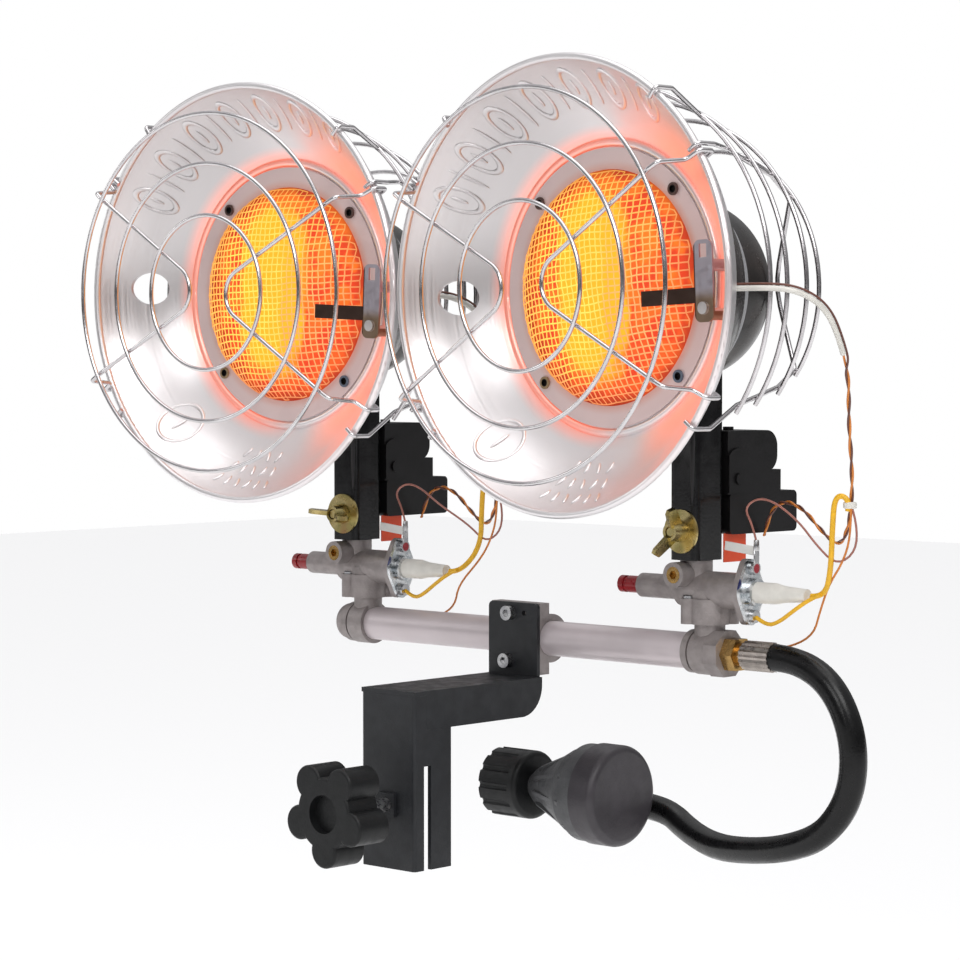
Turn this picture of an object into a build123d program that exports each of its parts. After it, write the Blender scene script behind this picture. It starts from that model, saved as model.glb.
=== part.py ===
from build123d import *
import math
import os

# Double tank-top propane heater. Millimetres, +Z up, both reflectors face -Y.
# The pieces are laid out from the middle of the manifold tube, and are moved at the end
# so that the origin is the closed end of the slot that hangs on the cylinder's collar.

# ---------------------------------------------------------------- driving dimensions
FIT = 0.1                 # radial clearance of pins, spigots and sockets
SEAT = 0.05               # gap between flat faces that rest on each other
CLEAR = 0.3               # gap between curved faces that only lie together

# manifold and tees
TUBE_R = 10.0
TUBE_WALL = 2.0
TEE_R = 12.5
TEE_LENGTH = 12.0
TEE_RING_R = 12.0
TEE_RING_WIDTH = 4.0
TEE_GROOVE_R = 10.8
TEE_GROOVE_WIDTH = 1.6
SOCKET_DEPTH = 12.0
CAP_LENGTH = 8.0
HEX_END_LENGTH = 8.0
FLANGE_R = 11.5
FLANGE_LOBE_R = 4.5
FLANGE_LOBE_AT = 11.5
FLANGE_THICK = 6.4
VALVE_FLANGE_THICK = 7.5
FLANGE_BASE = 15.7        # underside of the tee's flange above the manifold axis
NECK_R = 8.5

# valves
VALVE_HEIGHT = 34.5       # valve axis above the manifold axis
VALVE_TO_NECK = 9.5       # inlet neck beside the mast axis
BARREL_R = 10.0
BARREL_START = -9.0
BARREL_END = 33.0
NOSE_R = 6.75
NOSE_END = -38.0
SPIGOT_R = 7.7
SPIGOT_TOP = 76.0
PORT_R = 9.0
PLUG_BOSS_R = 7.0
PLUG_BOSS_X = -2.0
PLUG_BOSS_Z = 42.7
PLUG_BOSS_FRONT = 18.0
PLUG_R = 4.5
PLUG_DEPTH = 6.0
PLUG_KEY = 4.4
RHOMB_HALF = 18.0
RHOMB_LOBE_R = 5.0
RHOMB_CORE_R = 11.0
RHOMB_THICK = 3.5
COVER_THICK = 2.0
COVER_BOSS_R = 7.5
COVER_BOSS_LENGTH = 4.0
BUTTON_R = 4.75
BUTTON_OUT = 15.0
BUTTON_IN = 14.0
BUTTON_TRAVEL = 6.0
SLEEVE_LENGTH = 33.0
SLEEVE_R = 5.8
SLEEVE_END_R = 3.6
SCREW_R = 1.9
SCREW_HEAD_R = 3.5
SCREW_HEAD = 3.0
LOBE_HEAD_R = 3.0
LOBE_HEAD = 1.4
JET_R = 2.9
JET_HEX = 10.0
JET_HEAD = 3.0
JET_DEPTH = 10.0

# masts and wing nuts
HEAD_SPACING = 264.8      # between the two masts
DISH_INWARD = 4.4         # each dish's axis is this far inward of its mast's
HEAD_HEIGHT = 198.4       # reflector axis above the manifold axis
TOE_IN = 3.0              # each head is turned a little towards the other
MAST_WIDTH = 20.0
MAST_DEPTH = 24.0
MAST_CORNER = 4.0
MAST_WALL = 1.2
MAST_FOOT = 50.5
MIXING_R = 6.0
MIXING_WALL = 0.8
MIXING_RISE = 12.0        # how far the mixing tube stands up inside the cup
STUD_HEIGHT = 66.4
STUD_R = 3.0
STUD_END = 21.8           # stud tip in front of the mast axis
STUD_HEAD = 8.0
STUD_HEAD_THICK = 0.7
WASHER_R = 12.0
WASHER_THICK = 1.2
NUT_HUB_R = 6.0
NUT_HUB_TOP_R = 4.8
NUT_HUB_LENGTH = 9.0
WING_SPAN = 15.0
WING_RISE = 7.0
WING_THICK = 2.6
WING_ANGLE = {"left": 8.0, "right": -65.0}

# reflector and burner
DISH_TWIST = {"left": -2.6, "right": 2.4}   # each dish is screwed on slightly turned about its own axis
RIM_R = 119.7             # middle of the rolled rim
ROLL_R = 2.0
RIM_AT = 106.4            # rim in front of the mast axis
DISH_SHEET = 1.2
FLOOR_AT = 64.0           # back of the dish floor in front of the mast axis
FLOOR_R = 79.0
DISH_SAG = 4.0
MOUTH_R = 64.0
BEAD_R = 77.5
BEAD_SIZE = 2.4
HOLE_AT = 100.0
HOLE_HALF = (8.4, 9.6)
RING_THICK = 1.2
RING_IN_R = 63.0
RING_OUT_R = 74.6
RING_SCREW_AT = 69.0
RING_SCREW_R = 1.7
RING_SCREW_HEAD_R = 3.4
RING_SCREW_HEAD = 1.0
RING_SCREW_HOLLOW = 0.7
SCREEN_RISE = 20.0
SCREEN_SHEET = 0.8
PLATE_THICK = 3.0
PLATE_GAP = 0.8
BOWL_SHEET = 1.2
BOWL_R = 74.0
BOWL_FLANGE = 4.0
BOWL_FULLNESS = 0.93
SEAM_AT = 14.5
SEAM_R = 50.0
SEAM_LIP = 2.5
CUP_R = 49.0
CUP_ROUND_AT = 3.0        # the cup's round back starts here, in front of the mast axis
CUP_BACK = 36.0           # back of the cup behind the mast axis

# sensor
SENSOR_AT = 83.0
SENSOR_X = 83.3
SENSOR_Z = -1.5
SENSOR_WIDTH = 12.5
SENSOR_HEIGHT = 42.0
SENSOR_THICK = 1.2
SENSOR_BAR_Z = -8.5
SENSOR_BAR_WIDTH = 8.0
SENSOR_BAR_LENGTH = 38.0
SENSOR_POST_R = 3.2
SENSOR_SCREW_Z = -15.3
SENSOR_SLOT_Z = 14.0
SENSOR_SLOT = (5.0, 7.0)

# wire guards
WIRE_R = 1.5
WIRE_SIDES = 6            # guard wires are many, so each is drawn with few faces
WELD = 0.7                # how far two welded wires sink into each other
GUARD_RINGS = (44.2, 73.7, 102.4)
GUARD_AT = 133.9
GUARD_ARM_ANGLE = 30.0
GUARD_VERTEX_R = 14.6
CAGE_RINGS = ((106.5, 59.0), (100.0, 38.0), (91.5, 12.0), (76.0, -17.0))
CAGE_UPPER = (40.0, 39.0, 39.0, 38.5)
CAGE_UPPER_HOOK = 31.9
CAGE_LOWER = (-38.5, -38.5, -38.5, -38.5)
CAGE_LOWER_HOOK = -38.5
CAGE_CLIP_HOOK = 51.0
CAGE_CLIP_END = 54.5
CAGE_END_ANGLE = 40.5
CAGE_VERTEX = 45.5
CAGE_VERTEX_BEND = 45.0
CAGE_BENDS = [2.4, 3.0, 6.0, 12.0, 12.0, 4.0]
HOOK_GAP = 0.15
HOOK_LENGTH = 5.8
HOOK_FOOT = 4.5
CAGE_HOOK_LENGTH = 8.5
CAGE_HOOK_LEG = 6.5
ARM_SHOULDER = (12.0, 2.5)   # bends of a front wire: beyond the last ring, in front of the rim's wire
ARM_ELBOW = (9.0, 1.0)
ARM_RISE = 3.0
CAGE_CLIP_FOOT = 4.0
HOOK_BENDS = [2.4, 3.0, 4.0, 3.0, 3.0]

# tip switch
SWITCH_WIDTH = 24.0
SWITCH_HEAD_DEPTH = 42.0
SWITCH_BOX_DEPTH = 59.0
SWITCH_TOP = 121.0
SWITCH_STEP = 98.0
SWITCH_SHELF = 87.0
SWITCH_FOOT = 64.0
SWITCH_TAB_WIDTH = 21.0
SWITCH_TAB_TOP = 111.5
SWITCH_TAB_THICK = 1.2
SWITCH_SCREW_Z = 94.5
SWITCH_SCREW_R = 3.2

# bracket
SHEET = 2.5
ARM_WIDTH = 41.0
ARM_CENTRE_X = 7.5
ARM_TOP = -21.5
ARM_FLANGE = 21.5
ARM_END_R = 17.0
TAB_WIDTH = 37.4
TAB_TOP = 20.5
TAB_CORNER = 3.0
CHANNEL_FRONT = -115.0
CHANNEL_DEPTH = 29.0
CHANNEL_FOOT = -120.5
SLOT_WIDTH = 5.5
SLOT_FRONT_LEG = 7.5
SLOT_TOP = -63.0
SADDLE_LUG = 8.0
SADDLE_WALL = 4.0
SADDLE_SCREWS = ((-2.1, 14.3), (-4.1, -13.3))   # beside the arm's middle, above the manifold axis
SPARE_HOLES = ((8.7, 14.7), (-9.9, -12.8))
SPARE_HOLE_R = 1.5
SADDLE_SCREW_R = 2.4
SADDLE_HEAD_R = 4.2
SADDLE_HEAD = 4.0
SADDLE_KEY = 4.0
CLAMP_Z = -85.0
CLAMP_R = 4.0
CLAMP_TRAVEL = 5.0
CLAMP_PAD_R = 8.0
CLAMP_PAD = 2.0
WELD_NUT_SIZE = 13.0
WELD_NUT = 2.0
KNOB_FRONT = 50.0         # knob's face in front of the channel plate
KNOB_THICK = 22.0
KNOB_CORE_R = 20.0
KNOB_LOBE_R = 9.5
KNOB_LOBE_AT = 20.0
KNOB_LOBES = 5
KNOB_RECESS_R = 10.5
KNOB_RECESS = 5.0

# hose and regulator
FITTING_AF = 17.0
FITTING_LENGTH = 8.0
FITTING_NECK_R = 6.2
FITTING_NECK = 3.5
FITTING_STEM_R = 5.5
FITTING_STEM = 8.0
FERRULE_R = 8.2
FERRULE_LENGTH = 19.0
FLUTES = 18
FLUTE_DEPTH = 0.7
HOSE_R = 7.5
LEAD_R = 1.5
LEAD_RISE = 12.0          # how far the valve lead runs up along the sensor lead
LEAD_MEETS = 8            # point of the sensor lead's route where the valve lead joins it
# sensor lead, about the mast axis: from behind the dish, outside the cage, to the tip switch
LEAD_ROUTE = [(96, -72.8, 196.5), (112, -67.3, 197), (126, -59, 195), (131, -44, 186), (127, -28, 168),
              (122, -16, 150), (115, -8, 128), (112, -2, 106), (107, 4, 84), (98, 10, 67), (84, 20, 61),
              (68, 26, 68), (50, 32, 80), (32, 36, 83), (20, 39, 74), (16, 40, 62.5)]
# hose, about the manifold's middle: round below the manifold to the regulator's outlet
HOSE_ROUTE = [(203, 0, 0), (226, 0, -13), (239, 0, -40), (236.5, 1, -70), (218, 3, -93), (190, 7, -104),
              (157, 16, -110), (124, 28, -113), (94, 42, -109), (70, 50, -99)]
REG_Y = 10.0
REG_Z = -88.0
REG_FACE = 72.0           # closed face of the regulator's cap, along X
REG_CAP_R = 29.0
REG_CAP_LENGTH = 17.0
REG_BAND_R = 28.0
REG_BAND_LENGTH = 9.0
REG_BELL_LENGTH = 36.0
REG_BELL_R = 25.0
REG_NECK_R = 11.0
REG_INLET_R = 8.0
REG_RIBS = 10
REG_RIB_WIDTH = 2.4
OUTLET_Y = 50.0
OUTLET_Z = -99.0
OUTLET_FACE = 44.0
OUTLET_LENGTH = 22.0
OUTLET_R = 8.6
NUT_R = 20.0
NUT_LENGTH = 28.0
NUT_GAP = 4.0
NUT_THREAD_R = 16.0
NUT_THREAD_DEPTH = 20.0
NUT_GRIPS = 12
NUT_GRIP_R = 2.2

# ---------------------------------------------------------------- worked-out places
PLATE_R = BOWL_R - BOWL_SHEET - PLATE_GAP
BOWL_FLANGE_R = BOWL_R + BOWL_FLANGE
SIDES = {"left": -1, "right": 1}
SEAT_POINT = (ARM_CENTRE_X, CHANNEL_FRONT + SLOT_FRONT_LEG + SLOT_WIDTH / 2, SLOT_TOP)
FLANGE_SPLIT = FLANGE_BASE + FLANGE_THICK
PORT_TOP = MAST_FOOT - CLEAR
MAST_FRONT = -MAST_DEPTH / 2
RHOMB_FACE = BARREL_END + RHOMB_THICK
COVER_FACE = RHOMB_FACE + SEAT + COVER_THICK
SLEEVE_START = COVER_FACE + COVER_BOSS_LENGTH
SCREW_OFFSET = RHOMB_HALF - RHOMB_LOBE_R
DISH_FRONT = FLOOR_AT + DISH_SHEET
LOBE_ANGLES = (45.0, 225.0)
TEE_RIGHT_END = TEE_LENGTH / 2 + HEX_END_LENGTH


# ---------------------------------------------------------------- small helpers
def rod(radius, start, end, axis="X", x=0.0, y=0.0, z=0.0):
    """Round bar between two places along an axis, the other two coordinates given."""
    length = end - start
    middle = (start + end) / 2
    turn = {"X": (0, 90, 0), "Y": (90, 0, 0), "Z": (0, 0, 0)}[axis]
    place = {"X": (middle, y, z), "Y": (x, middle, z), "Z": (x, y, middle)}[axis]
    return Pos(*place) * Rot(*turn) * Cylinder(radius, length)


def tube(radius, wall, start, end, axis="X", **place):
    return rod(radius, start, end, axis, **place) - rod(radius - wall, start - 1, end + 1, axis, **place)


def block(x0, x1, y0, y1, z0, z1):
    return Pos((x0 + x1) / 2, (y0 + y1) / 2, (z0 + z1) / 2) * Box(x1 - x0, y1 - y0, z1 - z0)


def prism(sketch, start, end, axis="Z"):
    """A sketch drawn in its own x and y, extruded between two places along an axis."""
    plane = {"X": Plane.YZ, "Y": Plane.XZ, "Z": Plane.XY}[axis]
    sign = -1 if axis == "Y" else 1
    return extrude(plane.offset(sign * start) * sketch, sign * (end - start))


def lathe(points):
    """Closed outline of (radius, distance in front of the mast axis), turned about the dish axis."""
    flat = [(r, -front) for r, front in points]
    return revolve(make_face(Polyline(*flat, close=True)), Axis.Y)


def band(start, middle, end, inner, outer):
    """Sheet between two concentric arcs, through three points moved in and out, turned about the axis."""
    points = [(r, -front) for r, front in (start, middle, end)]
    arc = ThreePointArc(*points)
    centre = arc.arc_center
    radius = arc.radius

    def moved(by):
        return [centre + (Vector(*p) - centre) * ((radius + by) / radius) for p in points]

    near, far = moved(inner), moved(outer)
    outline = [
        ThreePointArc(*near),
        Line(near[2], far[2]),
        ThreePointArc(far[2], far[1], far[0]),
        Line(far[0], near[0]),
    ]
    return revolve(make_face(outline), Axis.Y)


def polar(radius, front, angle):
    """Point at a radius and angle about the dish axis, a distance in front of the mast axis."""
    a = math.radians(angle)
    return (radius * math.cos(a), -front, radius * math.sin(a))


def wire_section():
    return RegularPolygon(WIRE_R, WIRE_SIDES)


def wire(points, radii):
    """Guard wire along straight runs joined by tangent arcs."""
    path = FilletPolyline(*points, radius=radii)
    return sweep(Plane(path @ 0, z_dir=path % 0) * wire_section(), path)


def cord(points, radius, name):
    """A free cord's tube: each arc is as large as its two runs allow."""
    radii = []
    for before, corner, after in zip(points, points[1:], points[2:]):
        one = Vector(*corner) - Vector(*before)
        two = Vector(*after) - Vector(*corner)
        half_turn = math.radians(one.get_angle(two) / 2)
        radii.append(0.45 * min(one.length, two.length) / math.tan(half_turn))
    path = FilletPolyline(*points, radius=radii)
    solid = sweep(Plane(path @ 0, z_dir=path % 0) * Circle(radius), path)
    expected = math.pi * radius ** 2 * path.length
    print(name, "length", round(path.length, 1), "radii", [round(r, 1) for r in radii],
          "volume ratio", round(solid.volume / expected, 4))
    return solid


def arc_wire(radius, front, start, end):
    """Part of a wire ring about the dish axis, from one angle to another."""
    loop = revolve(Pos(radius, -front) * wire_section(), Axis.Y, end - start)
    return Rot(0, -end, 0) * loop


def lobed(core, lobe, at, angles):
    """Round plate with round ears."""
    plate = Circle(core)
    for angle in angles:
        plate += Rot(0, 0, angle) * (Pos(at, 0) * Circle(lobe) + Pos(at / 2, 0) * Rectangle(at, 2 * lobe))
    return plate


def rhomb():
    """Outline shared by the valve's end flange and its cover, tall along the second direction."""
    ears = Pos(0, SCREW_OFFSET) * Circle(RHOMB_LOBE_R) + Pos(0, -SCREW_OFFSET) * Circle(RHOMB_LOBE_R)
    return make_hull((Circle(RHOMB_CORE_R) + ears).edges())


def both(make):
    """The same static piece at both valves, as one group."""
    return Compound(children=[Pos(side * HEAD_SPACING / 2, 0, 0) * make() for side in SIDES.values()])


# ---------------------------------------------------------------- manifold and tees
def manifold_tube():
    start = -HEAD_SPACING / 2 + VALVE_TO_NECK + TEE_LENGTH / 2 - SOCKET_DEPTH
    end = HEAD_SPACING / 2 + VALVE_TO_NECK - TEE_LENGTH / 2 + SOCKET_DEPTH
    end -= TEE_GROOVE_WIDTH + TEE_RING_WIDTH
    return tube(TUBE_R, TUBE_WALL, start + SEAT, end - SEAT)


def tee_flange():
    plate = lobed(FLANGE_R, FLANGE_LOBE_R, FLANGE_LOBE_AT, LOBE_ANGLES)
    flange = prism(plate, FLANGE_BASE, FLANGE_SPLIT - SEAT)
    neck = rod(NECK_R, 0, FLANGE_BASE + 1, "Z")
    hole = rod(SCREW_R + FIT, FLANGE_BASE - 1, FLANGE_SPLIT + 1, "Z")
    holes = [Pos(*flange_screw(angle), 0) * hole for angle in LOBE_ANGLES]
    return flange + neck, holes


def flange_screw(angle):
    a = math.radians(angle)
    return (FLANGE_LOBE_AT * math.cos(a), FLANGE_LOBE_AT * math.sin(a))


def tee_left():
    half = TEE_LENGTH / 2
    flange, holes = tee_flange()
    groove = -half - TEE_GROOVE_WIDTH
    ring = groove - TEE_RING_WIDTH
    cap = rod(TEE_GROOVE_R, ring - CAP_LENGTH, ring)
    cap = fillet(cap.edges().sort_by(Axis.X)[0], TEE_GROOVE_R * 0.45)
    body = flange + rod(TEE_R, -half, half) + rod(TEE_GROOVE_R, groove - 1, -half + 1)
    body += rod(TEE_RING_R, ring, groove) + cap
    body -= rod(TUBE_R + FIT, half - SOCKET_DEPTH, half + NECK_R)
    for hole in holes:
        body -= hole
    return Pos(-HEAD_SPACING / 2 + VALVE_TO_NECK, 0, 0) * body


def tee_right():
    half = TEE_LENGTH / 2
    flange, holes = tee_flange()
    inner = -half - TEE_GROOVE_WIDTH - TEE_RING_WIDTH
    body = flange + rod(TEE_R, -half, half) + rod(TEE_GROOVE_R, inner + 1, -half + 1)
    body += rod(TEE_RING_R, inner, inner + TEE_RING_WIDTH)
    eight = RegularPolygon(TEE_R, 8, major_radius=False, rotation=22.5)
    body += prism(eight, half - 1, TEE_RIGHT_END, "X")
    body -= rod(TUBE_R + FIT, inner - 1, inner + SOCKET_DEPTH)
    body -= rod(FITTING_STEM_R + FIT, TEE_RIGHT_END - FITTING_STEM - 1, TEE_RIGHT_END + 1)
    for hole in holes:
        body -= hole
    return Pos(HEAD_SPACING / 2 + VALVE_TO_NECK, 0, 0) * body


# ---------------------------------------------------------------- valves
def valve_body():
    """Angle valve, its origin under the mast axis."""
    z = VALVE_HEIGHT
    body = rod(BARREL_R, BARREL_START, BARREL_END + 1, z=z) + rod(NOSE_R, NOSE_END, BARREL_START + 1, z=z)
    body += rod(PORT_R, z, PORT_TOP, "Z") + rod(SPIGOT_R, PORT_TOP - 1, SPIGOT_TOP, "Z")
    body += rod(PLUG_BOSS_R, -PLUG_BOSS_FRONT, 0, "Y", x=PLUG_BOSS_X, z=PLUG_BOSS_Z)
    body += Pos(VALVE_TO_NECK, 0, 0) * rod(FLANGE_R - 1, FLANGE_SPLIT, z, "Z")
    plate = lobed(FLANGE_R, FLANGE_LOBE_R, FLANGE_LOBE_AT, LOBE_ANGLES)
    body += Pos(VALVE_TO_NECK, 0, 0) * prism(plate, FLANGE_SPLIT, FLANGE_SPLIT + VALVE_FLANGE_THICK)
    body += Pos(0, 0, z) * prism(rhomb(), BARREL_END, RHOMB_FACE, "X")
    # passages and holes
    body -= rod(BUTTON_R + FIT, NOSE_END - 1, NOSE_END + BUTTON_IN + BUTTON_TRAVEL + 3, z=z)
    body -= rod(PLUG_R + FIT, -PLUG_BOSS_FRONT - 1, -PLUG_BOSS_FRONT + PLUG_DEPTH + SEAT, "Y",
                x=PLUG_BOSS_X, z=PLUG_BOSS_Z)
    body -= rod(JET_R + FIT, SPIGOT_TOP - JET_DEPTH - 1, SPIGOT_TOP + 1, "Z")
    for angle in LOBE_ANGLES:
        x, y = flange_screw(angle)
        place = {"x": x + VALVE_TO_NECK, "y": y}
        top = FLANGE_SPLIT + VALVE_FLANGE_THICK
        body -= rod(SCREW_R + FIT, FLANGE_SPLIT - 1, top + 1, "Z", **place)
        body -= rod(LOBE_HEAD_R + CLEAR, top, top + LOBE_HEAD + CLEAR, "Z", **place)
    for up in (-SCREW_OFFSET, SCREW_OFFSET):
        body -= rod(SCREW_R + FIT, BARREL_END - 1, RHOMB_FACE + 1, z=z + up)
    return body


def valve_cover():
    z = VALVE_HEIGHT
    cover = Pos(0, 0, z) * prism(rhomb(), RHOMB_FACE + SEAT, COVER_FACE, "X")
    cover += rod(COVER_BOSS_R, COVER_FACE - 1, SLEEVE_START, z=z)
    for up in (-SCREW_OFFSET, SCREW_OFFSET):
        cover -= rod(SCREW_R + FIT, RHOMB_FACE - 1, COVER_FACE + 1, z=z + up)
    return cover


def valve_screws():
    """Two cover screws and two flange screws."""
    z = VALVE_HEIGHT
    parts = []
    for up in (-SCREW_OFFSET, SCREW_OFFSET):
        shank = rod(SCREW_R, BARREL_END + SEAT, COVER_FACE + SEAT, z=z + up)
        parts.append(shank + rod(SCREW_HEAD_R, COVER_FACE + SEAT, COVER_FACE + SCREW_HEAD, z=z + up))
    top = FLANGE_SPLIT + VALVE_FLANGE_THICK
    for angle in LOBE_ANGLES:
        x, y = flange_screw(angle)
        place = {"x": x + VALVE_TO_NECK, "y": y}
        shank = rod(SCREW_R, FLANGE_BASE, top + SEAT, "Z", **place)
        parts.append(shank + rod(LOBE_HEAD_R, top + SEAT, top + LOBE_HEAD, "Z", **place))
    return Compound(children=parts)


def valve_plug():
    plug = rod(PLUG_R, -PLUG_BOSS_FRONT, -PLUG_BOSS_FRONT + PLUG_DEPTH, "Y", x=PLUG_BOSS_X, z=PLUG_BOSS_Z)
    key = Pos(PLUG_BOSS_X, PLUG_BOSS_Z) * RegularPolygon(PLUG_KEY / 2, 6, major_radius=False)
    return plug - prism(key, -PLUG_BOSS_FRONT - 1, -PLUG_BOSS_FRONT + PLUG_DEPTH / 2, "Y")


def push_button():
    """Pilot button that is pressed into the valve's nose."""
    z = VALVE_HEIGHT
    button = rod(BUTTON_R, NOSE_END - BUTTON_OUT, NOSE_END + BUTTON_IN, z=z)
    groove = tube(BUTTON_R + 1, 1.7, NOSE_END - BUTTON_OUT + 3.5, NOSE_END - BUTTON_OUT + 5.5, z=z)
    return button - groove


def lead_sleeve():
    z = VALVE_HEIGHT
    end = SLEEVE_START + SLEEVE_LENGTH
    start = SLEEVE_START + SEAT
    points = [(start, 0), (start, SLEEVE_R), (start + 12, SLEEVE_R), (start + 18, SLEEVE_R - 1.2),
              (end - 8, SLEEVE_END_R + 0.5), (end, SLEEVE_END_R), (end, 0)]
    return Pos(0, 0, z) * revolve(make_face(Polyline(*points, close=True)), Axis.X)


def gas_jet():
    jet = rod(JET_R, SPIGOT_TOP - JET_DEPTH, SPIGOT_TOP + 1, "Z")
    hexagon = RegularPolygon(JET_HEX / 2, 6, major_radius=False)
    jet += prism(hexagon, SPIGOT_TOP + SEAT, SPIGOT_TOP + JET_HEAD)
    return jet - rod(0.6, SPIGOT_TOP - JET_DEPTH - 1, SPIGOT_TOP + JET_HEAD + 1, "Z")


# ---------------------------------------------------------------- mast and its clamp
def mast_outline(wall_in=0.0):
    return RectangleRounded(MAST_WIDTH - 2 * wall_in, MAST_DEPTH - 2 * wall_in, MAST_CORNER - wall_in)


def mast(side):
    top = HEAD_HEIGHT - CUP_BACK
    body = prism(mast_outline() - mast_outline(MAST_WALL), MAST_FOOT, top)
    body -= Pos(-SIDES[side] * DISH_INWARD, 0, HEAD_HEIGHT) * cup_solid(SEAT + FIT)
    body -= rod(STUD_R + FIT, MAST_FRONT - 1, MAST_FRONT + MAST_WALL + 1, "Y", z=STUD_HEIGHT)
    return body


def mixing_tube():
    start = SPIGOT_TOP + JET_HEAD + 2
    return tube(MIXING_R, MIXING_WALL, start, HEAD_HEIGHT - CUP_BACK + MIXING_RISE, "Z")


def wing_stud():
    inside = MAST_FRONT + MAST_WALL
    stud = rod(STUD_R, -STUD_END, inside + STUD_HEAD_THICK, "Y", z=STUD_HEIGHT)
    stud = chamfer(stud.edges().sort_by(Axis.Y)[0], STUD_R * 0.2)
    half = STUD_HEAD / 2
    low, high = STUD_HEIGHT - half, STUD_HEIGHT + half
    return stud + block(-half, half, inside + SEAT, inside + STUD_HEAD_THICK, low, high)


def wing_washer():
    face = MAST_FRONT - SEAT
    disc = rod(WASHER_R, face - WASHER_THICK, face, "Y", z=STUD_HEIGHT)
    return disc - rod(STUD_R + FIT, face - WASHER_THICK - 1, face + 1, "Y", z=STUD_HEIGHT)


def wing_nut(side):
    base = MAST_FRONT - 2 * SEAT - WASHER_THICK
    tip = base - NUT_HUB_LENGTH
    hub = [(0, base), (NUT_HUB_R, base), (NUT_HUB_TOP_R, tip), (0, tip)]
    nut = revolve(make_face(Polyline(*hub, close=True)), Axis.Y)
    ear = [(0, base - 2), (NUT_HUB_R * 0.8, base - 1.5), (WING_SPAN, tip - WING_RISE * 0.35),
           (WING_SPAN * 0.88, tip - WING_RISE), (WING_SPAN * 0.7, tip - WING_RISE), (0, tip + 1)]
    outline = make_face(Polyline(*ear, close=True))
    outline = fillet(outline.vertices().sort_by(Axis.X)[-1], 2.0)
    for turn in (0, 180):
        nut += Rot(0, turn, 0) * extrude(outline, WING_THICK / 2, both=True)
    nut -= rod(STUD_R + FIT, tip - WING_RISE - 1, base + 1, "Y")
    return Pos(0, 0, STUD_HEIGHT) * Rot(0, WING_ANGLE[side], 0) * nut


# ---------------------------------------------------------------- reflector and burner
def dish_wall(inner, outer):
    start = (RIM_R - 0.4, RIM_AT - 1.4)
    end = (FLOOR_R, DISH_FRONT)
    chord = math.hypot(start[0] - end[0], start[1] - end[1])
    out = ((start[1] - end[1]) / chord, -(start[0] - end[0]) / chord)
    middle = tuple((s + e) / 2 + DISH_SAG * o for s, e, o in zip(start, end, out))
    return band(start, middle, end, inner, outer)


def reflector():
    """Spun dish with a rolled rim, a raised bead round its flat floor and a punched sight hole."""
    dish = dish_wall(0, DISH_SHEET)
    dish += Pos(0, -RIM_AT, 0) * Rot(90, 0, 0) * Torus(RIM_R, ROLL_R)
    edge = FLOOR_R + DISH_SHEET / 2
    dish += lathe([(MOUTH_R, FLOOR_AT), (edge, FLOOR_AT), (edge, DISH_FRONT), (MOUTH_R, DISH_FRONT)])
    low = -DISH_FRONT + 0.4
    bead = make_face([
        ThreePointArc((BEAD_R - BEAD_SIZE, low), (BEAD_R, low - BEAD_SIZE), (BEAD_R + BEAD_SIZE, low)),
        Line((BEAD_R + BEAD_SIZE, low), (BEAD_R - BEAD_SIZE, low)),
    ])
    dish += revolve(bead, Axis.Y)
    dish -= prism(Pos(-HOLE_AT, 0) * Ellipse(*HOLE_HALF), -RIM_AT - ROLL_R, -FLOOR_AT, "Y")
    for x, z in ring_screw_places():
        dish -= rod(RING_SCREW_R + FIT, -DISH_FRONT - 1, -FLOOR_AT + 1, "Y", x=x, z=z)
    return dish


def ring_screw_places():
    return [(RING_SCREW_AT * math.cos(math.radians(a)), RING_SCREW_AT * math.sin(math.radians(a)))
            for a in (45, 135, 225, 315)]


def burner_ring():
    back = DISH_FRONT + SEAT
    face = back + RING_THICK
    ring = lathe([(RING_IN_R, back), (RING_OUT_R, back), (RING_OUT_R, face), (RING_IN_R, face)])
    for x, z in ring_screw_places():
        ring -= rod(RING_SCREW_R + FIT, -back - RING_THICK - 1, -back + 1, "Y", x=x, z=z)
    return ring


def ring_screws():
    face = DISH_FRONT + SEAT + RING_THICK + SEAT
    parts = []
    for x, z in ring_screw_places():
        screw = rod(RING_SCREW_R, -face, -FLOOR_AT + SEAT + PLATE_THICK / 2, "Y", x=x, z=z)
        head = rod(RING_SCREW_HEAD_R, -face - RING_SCREW_HEAD, -face, "Y", x=x, z=z)
        top = -face - RING_SCREW_HEAD
        hollow = rod(RING_SCREW_R, top - 1, top + RING_SCREW_HOLLOW, "Y", x=x, z=z)
        parts.append(screw + head - hollow)
    return Compound(children=parts)


def emitter_screen():
    """Domed woven screen, clamped at its edge inside the burner ring."""
    edge = RING_IN_R - CLEAR
    base = DISH_FRONT - DISH_SHEET / 3
    half = Pos(edge / 2, -SCREEN_RISE / 2) * Rectangle(edge, SCREEN_RISE)
    outer = Ellipse(edge, SCREEN_RISE) & half
    inner = Ellipse(edge - SCREEN_SHEET, SCREEN_RISE - SCREEN_SHEET) & half
    return revolve(Pos(0, -base) * (outer - inner), Axis.Y)


def emitter_plate():
    face = FLOOR_AT - SEAT
    plate = rod(PLATE_R, -face, -face + PLATE_THICK, "Y")
    for x, z in ring_screw_places():
        plate -= rod(RING_SCREW_R + FIT, -face - 1, -face + PLATE_THICK + 1, "Y", x=x, z=z)
    return plate


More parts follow.
